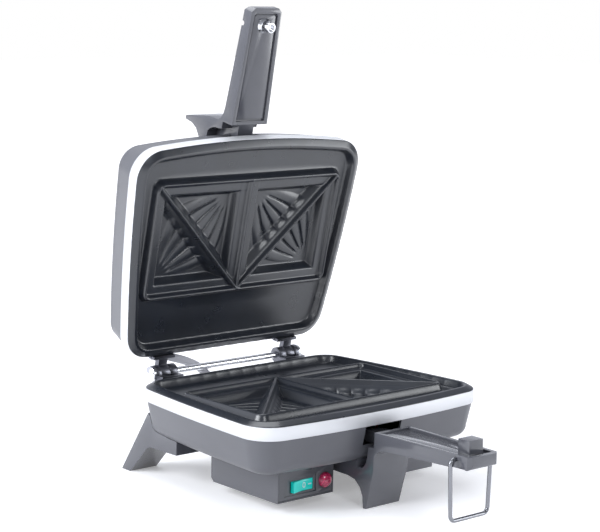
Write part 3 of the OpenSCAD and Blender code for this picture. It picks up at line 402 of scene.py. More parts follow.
FINISHES = {
    "coated_metal": coated_metal,
    "polished_band": polished_band,
    "housing": lambda: moulded("housing", colours("housing"), 0.36, 1400.0, 0.00005),
    "handle": lambda: moulded("handle", colours("handle"), 0.20, 900.0, 0.00002, 0.5),
    "panel": lambda: moulded("panel", (0.095, 0.097, 0.110), 0.24, 900.0, 0.00002, 0.3),
    "switch": lambda: moulded("switch", (0.02, 0.02, 0.024), 0.4, 1200.0, 0.00004),
    "bright_steel": lambda: plated("bright_steel", (0.84, 0.85, 0.88), 0.08, (0.05, 1.0, 1.0)),
    "peg_steel": lambda: plated("peg_steel", (0.70, 0.71, 0.74), 0.14),
    "wire_steel": lambda: plated("wire_steel", colours("wire"), 0.20, (1.0, 1.0, 0.08)),
    "pressed_steel": lambda: plated("pressed_steel", (0.16, 0.163, 0.185), 0.28),
    "zinc": lambda: plated("zinc", (0.60, 0.60, 0.63), 0.26),
    "black_oxide": lambda: plated("black_oxide", (0.045, 0.046, 0.052), 0.34),
    "reflector": lambda: plated("reflector", (0.80, 0.80, 0.82), 0.22, (1.0, 0.05, 1.0)),
    "heated_steel": heated_steel,
    "rocker": rocker_plastic,
    "lens": lens_plastic,
    "ceramic": lambda: pale_part("ceramic", (0.72, 0.69, 0.60)),
    "phenolic": lambda: pale_part("phenolic", (0.24, 0.11, 0.05)),
    "lead_cover": lambda: dark_rubber("lead_cover", (0.36, 0.04, 0.025)),
    "sleeve": sleeve_weave,
    "rubber": dark_rubber,
    "mark": mark_paint,
}

# Finishes of the pieces that keep their CAD shape
NODES_WITH = {
    "heated_steel": "base_heater lid_heater",
    "pressed_steel": "base_heater_clamps lid_heater_clamps",
    "reflector": "base_reflector lid_reflector",
    "zinc": "base_reflector_screws lid_reflector_screws base_handle_screws lid_handle_screws "
            "base_hinge_screws lid_hinge_screws",
    "black_oxide": "base_housing_screws lid_housing_screws box_screws rear_leg_screws",
    "phenolic": "thermostat",
    "ceramic": "thermal_fuse lamp_holder terminal_block",
    "switch": "switch_body",
    "rubber": "cord_gland base_grommet lid_grommet",
    "lead_cover": "inner_leads",
}


# ------------------------------------------------------------------ meshes

def to_base(p):
    """Hinge-frame millimetres of the base half to metres in the row frame."""
    return np.asarray(p, float) * MM + HINGE


def to_lid(p):
    """The same for the lid half: mirrored in z, then turned back about the hinge axis."""
    x, y, z = np.asarray(p, float).T
    c, s = math.cos(LID_ANGLE), math.sin(LID_ANGLE)
    return np.column_stack([x, y * c - z * s, -y * s - z * c]) * MM + HINGE


HALVES = {"base": (to_base, False), "lid": (to_lid, True)}


def add_piece(name, points, faces, finish, body, slot, replaces=(), sharp=40.0, uv=None):
    """Puts points (metres) and faces (index arrays) in a new object that rides on a body."""
    mesh = bpy.data.meshes.new(name)
    mesh.from_pydata(np.asarray(points).tolist(), [], [list(map(int, f)) for f in faces])
    mesh.validate()
    mesh.shade_smooth()
    mesh.set_sharp_from_angle(angle=math.radians(sharp))
    if uv is not None:
        layer = mesh.uv_layers.new(name="along")
        corner = np.empty(len(mesh.loops), dtype=np.int32)
        mesh.loops.foreach_get("vertex_index", corner)
        layer.data.foreach_set("uv", uv[corner].astype(np.float32).ravel())
    return settle(bpy.data.objects.new(name, mesh), finish, body, replaces)


def settle(piece, finish, body, replaces):
    if piece.name not in bpy.context.scene.collection.objects:
        bpy.context.scene.collection.objects.link(piece)
    piece.data.materials.clear()
    piece.data.materials.append(material(finish))
    if body:
        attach(piece, body)
    if replaces:
        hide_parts(*replaces)
    return piece


def half_piece(half, name, points, faces, finish, slot, replaces, **more):
    """A piece of one half, given in the base half's hinge frame; the lid's faces are turned round."""
    place, flip = HALVES[half]
    if flip:
        faces = [f[::-1] for f in faces]
    return add_piece(f"{half}_{name}", place(points), faces, finish, half, slot, replaces, **more)


def strip(rows, cols, start=0, closed=True, flip=False):
    """Quads of a grid of rows by cols points; closed joins the last column to the first."""
    i, j = np.meshgrid(np.arange(rows - 1), np.arange(cols if closed else cols - 1), indexing="ij")
    k = (j + 1) % cols
    quads = np.stack([i * cols + j, i * cols + k, (i + 1) * cols + k, (i + 1) * cols + j], -1).reshape(-1, 4)
    return (quads[:, ::-1] if flip else quads) + start


def fan(loop, hub, flip=False):
    """Triangles from a closed loop of indices to one hub point."""
    loop = np.asarray(loop)
    tris = np.column_stack([loop, np.roll(loop, -1), np.full(len(loop), hub)])
    return tris[:, ::-1] if flip else tris


def polar(centre, r, angles):
    """Points of an arc."""
    return np.column_stack([centre[0] + r * np.cos(angles), centre[1] + r * np.sin(angles)])


def plan_left(inset):
    """Left half of the plan moved in by inset: rear corner arc, the side's long arc, front corner arc.

    A corner's centre lies inset + radius inside the rear line and the side's arc, or inside the side's
    arc and the bow."""
    rr, fr = max(REAR_R - inset, 4.0), max(FRONT_R - inset, 4.0)
    k = inset + rr
    rear = np.array([SIDE_C[0] - math.sqrt((SIDE_R - k) ** 2 - (REAR_Y - k - SIDE_C[1]) ** 2), REAR_Y - k])
    k = inset + fr
    d = np.array([0.0, BOW_Y]) - SIDE_C
    far = math.hypot(*d)
    e = d / far
    t = (far + ((SIDE_R - k) ** 2 - (BOW_R - k) ** 2) / far) / 2
    front = SIDE_C + t * e + math.sqrt((SIDE_R - k) ** 2 - t * t) * np.array([-e[1], e[0]])
    a0, a1 = (math.atan2(*(c - SIDE_C)[::-1]) % (2 * math.pi) for c in (rear, front))
    end = 2 * math.pi + math.atan2(front[1] - BOW_Y, front[0])
    return np.vstack([polar(rear, rr, np.linspace(math.pi / 2, a0, 17)),
                      polar(SIDE_C, SIDE_R - inset, np.linspace(a0, a1, 11)[1:-1]),
                      polar(front, fr, np.linspace(a1, end, 23))])


def plan(inset, bow_steps=18, notch_steps=10):
    """Closed plan moved in by inset, counter-clockwise, with the same columns for every inset.

    The bow runs on equal steps of x out to the corners, with a column on each side of the handle's notch."""
    left = plan_left(inset)
    edge = left[-1, 0]
    x = np.concatenate([np.linspace(edge, -NOTCH_X, bow_steps + 1)[1:-1],
                        np.linspace(-NOTCH_X, NOTCH_X, notch_steps + 1),
                        np.linspace(NOTCH_X, -edge, bow_steps + 1)[1:-1]])
    bow = np.column_stack([x, BOW_Y - np.sqrt((BOW_R - inset) ** 2 - x ** 2)])
    right = left[::-1] * [-1, 1]
    back = np.linspace(right[-1], left[0], 13)[1:-1]
    return np.vstack([left, bow, right, back])


def notch_columns():
    """Column numbers of the left and the right side of the handle's notch."""
    x, y = plan(0.0).T
    return [int(np.flatnonzero((y < FRONT_Y) & (np.abs(x - side) < 1e-6))[0]) for side in (-NOTCH_X, NOTCH_X)]


def around(profile):
    """Rows of (z, inset) carried round the plan: one ring of points for each row."""
    return np.vstack([np.column_stack([p := plan(k), np.full(len(p), z)]) for z, k in profile])


def capped(rows, steps):
    """Faces of rings of points one after another, closed at both ends to the two hubs that follow them."""
    first, last = np.arange(steps), np.arange(steps) + (rows - 1) * steps
    return [*strip(rows, steps), *fan(first, rows * steps, True), *fan(last, rows * steps + 1)]


def revolve(profile, centre, axis, steps=48):
    """Closed surface of revolution: rows of (distance along the axis, radius) turned about the axis."""
    profile = np.asarray(profile, float)
    centre = np.asarray(centre)
    axis = np.asarray(axis, float) / np.linalg.norm(axis)
    u = np.cross(axis, [0.3, 0.5, 0.81])
    u /= np.linalg.norm(u)
    v = np.cross(axis, u)
    a = np.linspace(0, 2 * math.pi, steps, endpoint=False)
    ring = np.cos(a)[:, None] * u + np.sin(a)[:, None] * v
    points = (centre + profile[:, None, :1] * axis + profile[:, None, 1:] * ring[None]).reshape(-1, 3)
    points = np.vstack([points, centre + profile[0, 0] * axis, centre + profile[-1, 0] * axis])
    return points, capped(len(profile), steps)


def pipe(path, radius, across, steps=24):
    """Round tube along a path: each ring lies square to the path, its first spoke towards `across`."""
    path = np.asarray(path, float)
    t = np.gradient(path, axis=0)
    t /= np.linalg.norm(t, axis=1)[:, None]
    u = across - (t @ across)[:, None] * t
    u /= np.linalg.norm(u, axis=1)[:, None]
    v = np.cross(t, u)
    a = np.linspace(0, 2 * math.pi, steps, endpoint=False)[None, :, None]
    points = path[:, None] + radius * (np.cos(a) * u[:, None] + np.sin(a) * v[:, None])
    return np.vstack([points.reshape(-1, 3), path[0], path[-1]]), capped(len(path), steps)


def smooth(t):
    """0 below 0, 1 above 1, and 3t^2 - 2t^3 between."""
    t = np.clip(t, 0, 1)
    return t * t * (3 - 2 * t)


# ------------------------------------------------------------------ cooking plates

def soft_max(heights, k):
    """k times the logarithm of the sum of exp(height / k): the highest one, blended over about k."""
    stack = np.stack(heights) / k
    top = stack.max(0)
    return k * (top + np.log(np.exp(stack - top).sum(0)))


def ramp(d, start, run, r):
    """Straight rise from 0 at start to 1 at start + run, its two bends rounded over about r."""
    low, high = (np.logaddexp(0, (d - at) / r) for at in (start, start + run))
    return (low - high) * r / run


def slope(d, ledge, run):
    """Height at distance d from a ridge: crest, step down to the ledge, then the pocket wall over `run`."""
    step = (LEDGE_Z - CREST_Z) * ramp(d, sizes().ridge / MM, 1.8, 0.3)
    return CREST_Z + step + (POCKET_Z - LEDGE_Z) * ramp(d, ledge, run, 0.45)


def array_surface(n):
    """Grid over both squares: x and y in equal steps, the outer corners drawn in to arcs.

    Height is the highest of the slopes from the rim of the array, the middle ridge and the diagonal, plus
    the lobes of a shell in each pocket: a crown |sin| of ten times the angle about its square corner, which
    grows outwards, less a bell exp(-(distance / width)^2) along the lines between lobes, which bend in."""
    t = np.linspace(0, 1, n + 1)
    x = np.concatenate([-SQUARE + SQUARE * t, SQUARE * t[1:]])
    y = ARRAY_Y + ARRAY_D * (t - 0.5)
    x, y = np.meshgrid(x, y, indexing="ij")
    p = np.abs(x) - (SQUARE - ARRAY_R)
    q = np.abs(y - ARRAY_Y) - (ARRAY_D / 2 - ARRAY_R)
    corner = (p > 0) & (q > 0)
    pull = np.where(corner, np.maximum(p, q) / np.maximum(np.hypot(p, q), 1e-9), 1.0)
    x = np.where(corner, np.sign(x) * (SQUARE - ARRAY_R + p * pull), x)
    y = np.where(corner, ARRAY_Y + np.sign(y - ARRAY_Y) * (ARRAY_D / 2 - ARRAY_R + q * pull), y)
    rim = np.where(corner, ARRAY_R - np.hypot(p * pull, q * pull), -np.maximum(p, q) + ARRAY_R)
    a = np.abs(x)
    b = y - (ARRAY_Y - ARRAY_D / 2)
    # signed distance to the diagonal from the outer front corner to the inner rear one
    long_side = math.hypot(SQUARE, ARRAY_D)
    diagonal = ((SQUARE - a) * ARRAY_D - b * SQUARE) / long_side
    z = soft_max([slope(rim, LEDGE_W, WALL_RUN), slope(a, LEDGE_W, WALL_RUN),
                  slope(np.abs(diagonal), DIAGONAL_W, DIAGONAL_RUN)], 0.35)
    front = diagonal > 0
    u = np.where(front, a - SHELL_IN, SQUARE - SHELL_IN - a)
    v = np.where(front, b - SHELL_IN, ARRAY_D - SHELL_IN - b)
    angle = np.arctan2(np.maximum(v, 1e-6), np.maximum(u, 1e-6))
    reach = np.hypot(u, v)
    middle, lobe = math.pi / 4, math.pi / (2 * LOBES)
    bend = 1 - 0.24 * np.minimum(reach / SHELL_L, 1) ** 2
    bent = np.clip(middle + (angle - middle) / bend, 0, 2 * middle)
    cut = reach * np.abs(bent - lobe * np.clip(np.round(bent / lobe), 1, LOBES - 1))
    deep = smooth((LEDGE_Z - 2.0 - z) / 6.0) * (u > 0) * (v > 0)
    crown = np.abs(np.sin(2 * LOBES * bent)) ** 0.8 * (0.25 + 0.75 * smooth((reach - 25) / 30))
    z = z + deep * (sizes().rib / MM * crown * smooth((reach - 8) / 16)
                    - 1.1 * np.exp(-(cut / 0.9) ** 2) * smooth((reach - 14) / 10) * smooth((78 - reach) / 14))
    return x, y, z


def boundary(nx, ny):
    """Indices of the outer loop of a grid of nx by ny points, counter-clockwise."""
    i = np.arange(nx)
    j = np.arange(ny)
    return np.concatenate([i[:-1] * ny, (nx - 1) * ny + j[:-1], i[:0:-1] * ny + ny - 1, j[:0:-1]])


def polar_ring(inset, angles, centre):
    """Points where rays from the centre meet the plan moved in by inset."""
    d = plan(inset) - centre
    a = np.arctan2(d[:, 1], d[:, 0])
    order = np.argsort(a)
    r = np.interp(angles, a[order], np.hypot(d[:, 0], d[:, 1])[order], period=2 * math.pi)
    return centre + r[:, None] * np.column_stack([np.cos(angles), np.sin(angles)])


# Rows of the casting outside the squares: inset of the plan, height
RIM_ROWS = [(15.2, FIELD_Z), (14.2, FIELD_Z + 0.1), (13.4, -8.1), (12.6, -7.1), (10.9, -3.0), (10.2, -1.4),
            (9.7, -0.75), (9.2, -0.48), (8.6, CREST_Z), (7.4, CREST_Z), (6.8, -0.5), (6.2, -0.78),
            (1.1, -3.55), (0.6, -3.85), (0.35, -4.1), (0.25, -4.4), (0.4, -4.58), (2.6, FLANGE_Z),
            (2.6, SLAB_Z), (16.0, SLAB_Z), (16.0, -18.3)]


# The same close round the squares: distance from their edge, and the run of the fall to the field
SKIRT_STEPS, SKIRT_RUN = (0.5, 1.0, 1.6, 2.2, 2.9, 3.6, 4.4, 5.2, 6.0), 5.4

# Steps of the grid over one bread square
GRID_STEPS = 170


def plate(half):
    """Casting: the grid over the squares, then rings of points out to the rim, down and in to the hub."""
    n = GRID_STEPS
    x, y, z = array_surface(n)
    nx, ny = x.shape
    grid = np.column_stack([x.ravel(), y.ravel(), z.ravel()])
    i, j = np.meshgrid(np.arange(nx - 1), np.arange(ny - 1), indexing="ij")
    a, b, c, d = i * ny + j, (i + 1) * ny + j, (i + 1) * ny + j + 1, i * ny + j + 1
    left = (i < n)[..., None]
    one = np.where(left, np.stack([a, b, c], -1), np.stack([a, b, d], -1)).reshape(-1, 3)
    two = np.where(left, np.stack([a, c, d], -1), np.stack([b, c, d], -1)).reshape(-1, 3)
    loop = boundary(nx, ny)
    edge = grid[loop, :2]
    # outward normals of the array's rim: away from the nearest corner centre, or square to the side
    core = np.clip(edge - [0, ARRAY_Y], [-SQUARE + ARRAY_R, -ARRAY_D / 2 + ARRAY_R],
                   [SQUARE - ARRAY_R, ARRAY_D / 2 - ARRAY_R]) + [0, ARRAY_Y]
    normal = (edge - core) / ARRAY_R
    m = len(edge)

    def ring(flat, height):
        return np.column_stack([flat, np.full(m, height)])

    falls = [float(smooth((k - SKIRT_STEPS[0]) / SKIRT_RUN)) for k in SKIRT_STEPS]
    rows = [ring(edge + normal * k, CREST_Z + (FIELD_Z - CREST_Z) * f) for k, f in zip(SKIRT_STEPS, falls)]
    angles = np.arctan2(edge[:, 1] - HUB[1], edge[:, 0] - HUB[0])
    near, far = edge + normal * SKIRT_STEPS[-1], polar_ring(RIM_ROWS[0][0], angles, HUB)
    rows += [ring(near + (far - near) * f, FIELD_Z) for f in (0.3, 0.65)]
    rows += [ring(polar_ring(k, angles, HUB), h) for k, h in RIM_ROWS]
    points = np.vstack([grid, *rows, [[*HUB, RIM_ROWS[-1][1]]]])
    at = len(grid) + np.arange(m)
    first = np.column_stack([loop, at, np.roll(at, -1), np.roll(loop, -1)])
    skirt = strip(len(rows), m, len(grid), flip=True)
    cap = fan(at + (len(rows) - 1) * m, len(points) - 1, True)
    faces = [*one, *two, *first, *skirt, *cap]
    return half_piece(half, "plate_casting", points, faces, "coated_metal", "coated_aluminium",
                      (f"{half}_plate",), sharp=50.0)


# ------------------------------------------------------------------ bands and housings

# Closed section of the sheet-metal band: height, inset
BAND_ROWS = [(-4.75, 0.0), (-4.65, 0.15), (-4.62, 0.85), (-4.75, 1.0),
             (-17.5, 1.0), (-17.6, 0.85), (-17.6, 0.2), (-17.45, 0.0)]


def band(half):
    """The band's section carried once round the plan."""
    rows = BAND_ROWS + BAND_ROWS[:1]
    points = around(rows)
    n = len(points) // len(rows)
    return half_piece(half, "band_sheet", points, strip(len(rows), n), "polished_band", "polished_band",
                      (f"{half}_band",), sharp=60.0)


def housing_rows():
    """Outer and inner rows of a housing from its rim down to the flat floor: height, inset."""
    zs = np.array([BAND_LOW_Z, -20.0, -26.0, -31.0, NOTCH_Z, -40.0])
    lean = 5.3 / (BAND_LOW_Z - TURN_Z)
    wall = [(z, 1.2 + lean * (BAND_LOW_Z - z)) for z in zs]
    a = np.radians(np.linspace(0, 90, 10))
    turn = [(TURN_Z - 12.0 * math.sin(t), 6.5 + 13.5 * (1 - math.cos(t))) for t in a]
    inner_turn = [(TURN_Z - 9.5 * math.sin(t), 9.0 + 11.0 * (1 - math.cos(t))) for t in a]
    outer = wall + turn + [(BOTTOM_Z, FLOOR_IN)]
    inner = [(z, k + WALL) for z, k in wall] + inner_turn + [(BOTTOM_Z + WALL, FLOOR_IN)]
    return outer, inner


# Wall of the housings, and how far the floor's flat part lies inside the plan
WALL, FLOOR_IN = 2.5, 45.0


def housing(half):
    """Shell: outer and inner walls carried round the plan, open at the top, with a notch for the handle."""
    outer, inner = housing_rows()
    rows = len(outer)
    points = np.vstack([around(outer), around(inner)])
    n = len(points) // (2 * rows)
    points = np.vstack([points, [[*HUB, BOTTOM_Z], [*HUB, BOTTOM_Z + WALL]]])
    lo, hi = notch_columns()
    notch_row = [z for z, k in outer].index(NOTCH_Z)
    cols = np.arange(n)
    inside = (cols >= lo) & (cols < hi)

    def wall(start, flip):
        quads = strip(rows, n, start, flip=flip).reshape(rows - 1, n, 4)
        keep = np.ones((rows - 1, n), bool)
        keep[:notch_row, inside] = False
        return quads[keep]

    shift = rows * n
    top = np.column_stack([cols, cols + shift, (cols + 1) % n + shift, (cols + 1) % n])[~inside]
    at = notch_row * n + cols[inside]
    sill = np.column_stack([at, at + shift, at + 1 + shift, at + 1])
    i = np.arange(notch_row)
    left = np.column_stack([i * n + lo, i * n + lo + shift, (i + 1) * n + lo + shift, (i + 1) * n + lo])
    right = np.column_stack([i * n + hi, (i + 1) * n + hi, (i + 1) * n + hi + shift, i * n + hi + shift])
    floor = fan((rows - 1) * n + cols, 2 * rows * n, True)
    inner_floor = fan((2 * rows - 1) * n + cols, 2 * rows * n + 1)
    faces = [*wall(0, True), *wall(shift, False), *top, *sill, *left, *right, *floor, *inner_floor]
    return half_piece(half, "housing_shell", points, faces, "housing", "black_housing",
                      (f"{half}_housing",), sharp=35.0)


# ------------------------------------------------------------------ eased mouldings

def eased(node, finish, width, segments=3, angle=28.0, weld=0.00002):
    """A copy of a CAD solid, merged, with its flat faces joined and every crisp edge rounded."""
    source = frame["nodes"][node]
    mesh = source.data.copy()
    mesh.name = node + "_eased"
    work = bmesh.new()
    work.from_mesh(mesh)
    bmesh.ops.remove_doubles(work, verts=work.verts, dist=weld)
    bmesh.ops.dissolve_limit(work, angle_limit=math.radians(1.0), verts=work.verts, edges=work.edges)
    work.to_mesh(mesh)
    work.free()
    piece = bpy.data.objects.new(node + "_eased", mesh)
    bpy.context.scene.collection.objects.link(piece)
    mesh.shade_smooth()
    bevel = piece.modifiers.new("edges", "BEVEL")
    bevel.width = width
    bevel.segments = segments
    bevel.limit_method = "ANGLE"
    bevel.angle_limit = math.radians(angle)
    bevel.harden_normals = True
    bevel.miter_outer = "MITER_ARC"
    body = body_of(source)[0]
    return settle(piece, finish, body, (node,))


# Node, finish and edge width as a multiple of the moulding edge or the small edge
EASED = [("base_handle", "handle", 1.0), ("lid_handle", "handle", 1.0), ("rear_leg_left", "handle", 1.6),
         ("rear_leg_right", "handle", 1.6), ("latch_block", "handle", 1.0), ("control_box", "housing", 1.0),
         ("terminal_box", "housing", 1.0), ("control_panel", "panel", 0.4)]
EASED_SMALL = [("base_hinge_left", "pressed_steel", 1.0), ("base_hinge_right", "pressed_steel", 1.0),
               ("lid_hinge_left", "pressed_steel", 1.0), ("lid_hinge_right", "pressed_steel", 1.0),
               ("switch_rocker", "rocker", 1.0)]


# ------------------------------------------------------------------ operators

def done():
    return {"FINISHED"}


class TOASTER_OT_stage(bpy.types.Operator):
    """Camera, lamps, world and floor"""
    bl_idname = "toaster.stage"
    bl_label = "Stage"

    def execute(self, context):
        make_camera()
        make_world()
        make_lamps()
        make_floor()
        return done()


# Camera: azimuth, elevation and roll in degrees, point aimed at from the hinge in millimetres, distance
# in metres, focal length and frame width in picture points
CAMERA_TURN = (-41.01, 8.80, 1.02)
CAMERA_AIM, CAMERA_FAR = (25.22, -89.83, 114.27), 1.8427
FOCAL_POINTS, FRAME_POINTS, SENSOR_MM = 1779.45, 600, 36.0


def make_camera():
    """Camera in front at the left, a little above the toaster."""
    azimuth, elevation, roll = (math.radians(v) for v in CAMERA_TURN)
    back = np.array([math.sin(azimuth) * math.cos(elevation), -math.cos(azimuth) * math.cos(elevation),
                     math.sin(elevation)])
    right = np.cross([0, 0, 1], back)
    right /= np.linalg.norm(right)
    up = np.cross(back, right)
    axes = np.column_stack([math.cos(roll) * right + math.sin(roll) * up,
                            math.cos(roll) * up - math.sin(roll) * right, back])
    place = np.array(CAMERA_AIM) * MM + back * CAMERA_FAR + HINGE
    data = bpy.data.cameras.new("camera")
    data.sensor_width = SENSOR_MM
    data.sensor_fit = "HORIZONTAL"
    data.lens = FOCAL_POINTS / FRAME_POINTS * SENSOR_MM
    data.clip_start = 0.05
    data.clip_end = 60.0
    camera = bpy.data.objects.new("camera", data)
    camera.matrix_world = Matrix([*np.column_stack([axes, place]).tolist(), [0.0, 0.0, 0.0, 1.0]])
    bpy.context.scene.collection.objects.link(camera)
    bpy.context.scene.camera = camera


# World light: strength for diffuse rays; for glossy ones dim to bright along the direction GLOW_TO
AMBIENT, GLOW_LOW, GLOW_HIGH = 0.36, 0.20, 1.0
GLOW_TO = (-0.5, 0.866, 0.0)


def make_world():
    """White for what the camera sees; in polished surfaces bright at the back left and dim in front."""
    world = bpy.data.worlds.new("studio")
    bpy.context.scene.world = world
    world.use_nodes = True
    tree = world.node_tree
    tree.nodes.clear()

    def math_node(operation, a, b):
        node = tree.nodes.new("ShaderNodeMath")
        node.operation = operation
        for socket, value in zip(node.inputs, (a, b)):
            if isinstance(value, float):
                socket.default_value = value
            else:
                tree.links.new(value, socket)
        return node.outputs[0]

    path = tree.nodes.new("ShaderNodeLightPath").outputs
    place = tree.nodes.new("ShaderNodeTexCoord").outputs["Generated"]
    side = tree.nodes.new("ShaderNodeVectorMath")
    side.operation = "DOT_PRODUCT"
    side.inputs[1].default_value = GLOW_TO
    tree.links.new(place, side.inputs[0])
    glow = tree.nodes.new("ShaderNodeMapRange")
    glow.interpolation_type = "SMOOTHSTEP"
    for name, value in (("From Min", -0.7), ("From Max", 0.9), ("To Min", GLOW_LOW), ("To Max", GLOW_HIGH)):
        glow.inputs[name].default_value = value
    tree.links.new(side.outputs["Value"], glow.inputs["Value"])
    shine = math_node("MAXIMUM", path["Is Glossy Ray"], path["Is Transmission Ray"])
    more = math_node("MULTIPLY", shine, math_node("SUBTRACT", glow.outputs[0], AMBIENT))
    lit = math_node("ADD", more, AMBIENT)
    level = math_node("MAXIMUM", path["Is Camera Ray"], lit)
    tint = tree.nodes.new("ShaderNodeMix")
    tint.data_type = "RGBA"
    tint.inputs[6].default_value = (0.93, 0.96, 1.06, 1.0)
    tint.inputs[7].default_value = (1.0, 1.0, 1.0, 1.0)
    tree.links.new(path["Is Camera Ray"], tint.inputs[0])
    background = tree.nodes.new("ShaderNodeBackground")
    tree.links.new(tint.outputs[2], background.inputs["Color"])
    output = tree.nodes.new("ShaderNodeOutputWorld")
    tree.links.new(level, background.inputs["Strength"])
    tree.links.new(background.outputs[0], output.inputs[0])
    bpy.context.scene.view_settings.view_transform = "Standard"


# Soft lamps: name, place, aimed at, side in metres, power in watts
LAMPS = [("key", (-2.1, 0.45, 1.25), (0.0, 0.0, 0.2), 1.5, 60.0),
         ("top", (0.25, 0.75, 2.1), (0.0, 0.0, 0.0), 1.6, 24.0),
         ("right", (1.75, -1.35, 0.55), (0.0, 0.0, 0.2), 1.1, 20.0),
         ("front", (-0.55, -1.6, 1.2), (0.0, 0.0, 0.2), 0.5, 7.0)]


LAMP_TINT = (0.95, 0.975, 1.0)


def make_lamps():
    for name, place, aim, side, power in LAMPS:
        data = bpy.data.lights.new(name, "AREA")
        data.shape = "SQUARE"
        data.size = side
        data.energy = power
        data.color = LAMP_TINT
        lamp = bpy.data.objects.new(name, data)
        bpy.context.scene.collection.objects.link(lamp)
        lamp.rotation_euler = (Vector(aim) - Vector(place)).to_track_quat("-Z", "Y").to_euler()
        lamp.location = place


# Floor: half its side in metres, and the lift to white near the toaster and far from it
FLOOR_HALF = 9.0
LIFT_NEAR, LIFT_MORE, LIFT_FROM, LIFT_TO = 0.28, 0.72, 0.4, 2.2


def make_floor():
    """Pale floor: a diffuse sheet that keeps the shadow, lifted to white for all but diffuse rays."""
    r = FLOOR_HALF
    mesh = bpy.data.meshes.new("floor")
    mesh.from_pydata([(-r, -r, 0), (r, -r, 0), (r, r, 0), (-r, r, 0)], [], [(0, 1, 2, 3)])
    floor = bpy.data.objects.new("floor", mesh)
    bpy.context.scene.collection.objects.link(floor)
    g = Graph("floor_sheet")
    cloud = g.noise(1.5, 2.0)
    c = colours("floor")
    diffuse = g.node("ShaderNodeBsdfDiffuse", Color=g.mix(cloud, shade(c, 0.99), c))
    seen = g.node("ShaderNodeLightPath", output="Is Camera Ray")
    for ray in ("Is Glossy Ray", "Is Transmission Ray"):
        seen = seen.math("MAXIMUM", g.node("ShaderNodeLightPath", output=ray))
    far = g.node("ShaderNodeVectorMath", {"operation": "LENGTH"}, output="Value", **{"0": g.coords()})
    lift = g.node("ShaderNodeEmission", Color=(1.0, 1.0, 1.0),
                  Strength=seen * (LIFT_NEAR + LIFT_MORE * far.step(LIFT_FROM, LIFT_TO)))
    both = g.node("ShaderNodeAddShader", **{"0": diffuse, "1": lift})
    g.tree.links.new(both.socket, g.output.inputs["Surface"])
    mesh.materials.append(g.material)


class TOASTER_OT_plates(bpy.types.Operator):
    """Both cooking plates with ridges, pockets and shell ribs"""
    bl_idname = "toaster.plates"
    bl_label = "Cooking plates"

    def execute(self, context):
        for half in HALVES:
            plate(half)
        return done()


class TOASTER_OT_shells(bpy.types.Operator):
    """Bands and housings of both halves"""
    bl_idname = "toaster.shells"
    bl_label = "Bands and housings"

    def execute(self, context):
        for half in HALVES:
            band(half)
            housing(half)
        return done()


class TOASTER_OT_mouldings(bpy.types.Operator):
    """Handles, legs, boxes, panel, rocker and hinge brackets with rounded edges"""
    bl_idname = "toaster.mouldings"
    bl_label = "Mouldings and brackets"

    def execute(self, context):
        for node, finish, k in EASED:
            eased(node, finish, sizes().edge * k)
        for node, finish, k in EASED_SMALL:
            eased(node, finish, sizes().small_edge * k, 2)
        return done()


class TOASTER_OT_latch(bpy.types.Operator):
    """Wire bail and the lid's peg"""
    bl_idname = "toaster.latch"
    bl_label = "Latch"

    def execute(self, context):
        make_bail()
        make_peg()
        return done()


def make_bail():
    """One wire: end, round corner, leaning leg, round corner, half the crossbar; then the same mirrored."""
    w, drop, end, top_r, low_r, lean = 26.75, 58.7, 16.2, 5.0, 6.0, math.radians(2.3)
    top = polar((w - top_r, -top_r), top_r, np.linspace(math.pi / 2, -lean, 12))
    low_z = -drop + low_r - low_r * math.sin(lean)
    low_x = top[-1, 0] - (top[-1, 1] - low_z) * math.tan(lean) - low_r * math.cos(lean)
    low = polar((low_x, -drop + low_r), low_r, np.linspace(-lean, -math.pi / 2, 13))
    half = np.vstack([[[end, 0.0]], top, (top[-1:] + low[:1]) / 2, low, [[0.0, -drop]]])
    flat = np.vstack([half, half[-2::-1] * [-1, 1]])
    path = np.column_stack([flat[:, 0], np.zeros(len(flat)), flat[:, 1]]) * MM + BAIL_PIVOT
    points, faces = pipe(path, sizes().wire / 2, np.array([0.0, 1.0, 0.0]))
    add_piece("bail_wire", points, faces, "wire_steel", "bail", "wire_steel", ("bail",))


def make_peg():
    """Turned peg: foot flare, shank, chamfered end with a shallow hollow."""
    profile = [(-26.6, 3.0), (-23.11, 3.0), (-23.1, 8.0), (-22.8, 8.1), (-20.4, 5.5), (-19.8, 5.3),
               (-11.0, 5.3), (-10.5, 5.1), (-10.3, 4.6), (-10.3, 3.7), (-10.6, 3.3), (-13.3, 3.2)]
    points, faces = revolve(profile, (0.0, -364.0, 0.0), (0.0, 0.0, 1.0))
    half_piece("lid", "peg_turned", points, faces, "peg_steel", "bright_steel", ("lid_peg",), sharp=35.0)


class TOASTER_OT_hinge(bpy.types.Operator):
    """Hinge rod, cap nuts and the sleeve of leads"""
    bl_idname = "toaster.hinge"
    bl_label = "Hinge and sleeve"

    def execute(self, context):
        make_rod()
        make_nuts()
        make_sleeve()
        return done()


def make_rod():
    """Polished rod with eased ends, turned about the hinge axis."""
    profile = [(-99.8, 3.2), (-99.5, 3.5), (99.5, 3.5), (99.8, 3.2)]
    points, faces = revolve(profile, (0.0, 0.0, 0.0), (1.0, 0.0, 0.0), 40)
    add_piece("hinge_rod_polished", to_base(points), faces, "bright_steel", "base", "bright_steel",
              ("hinge_rod",))


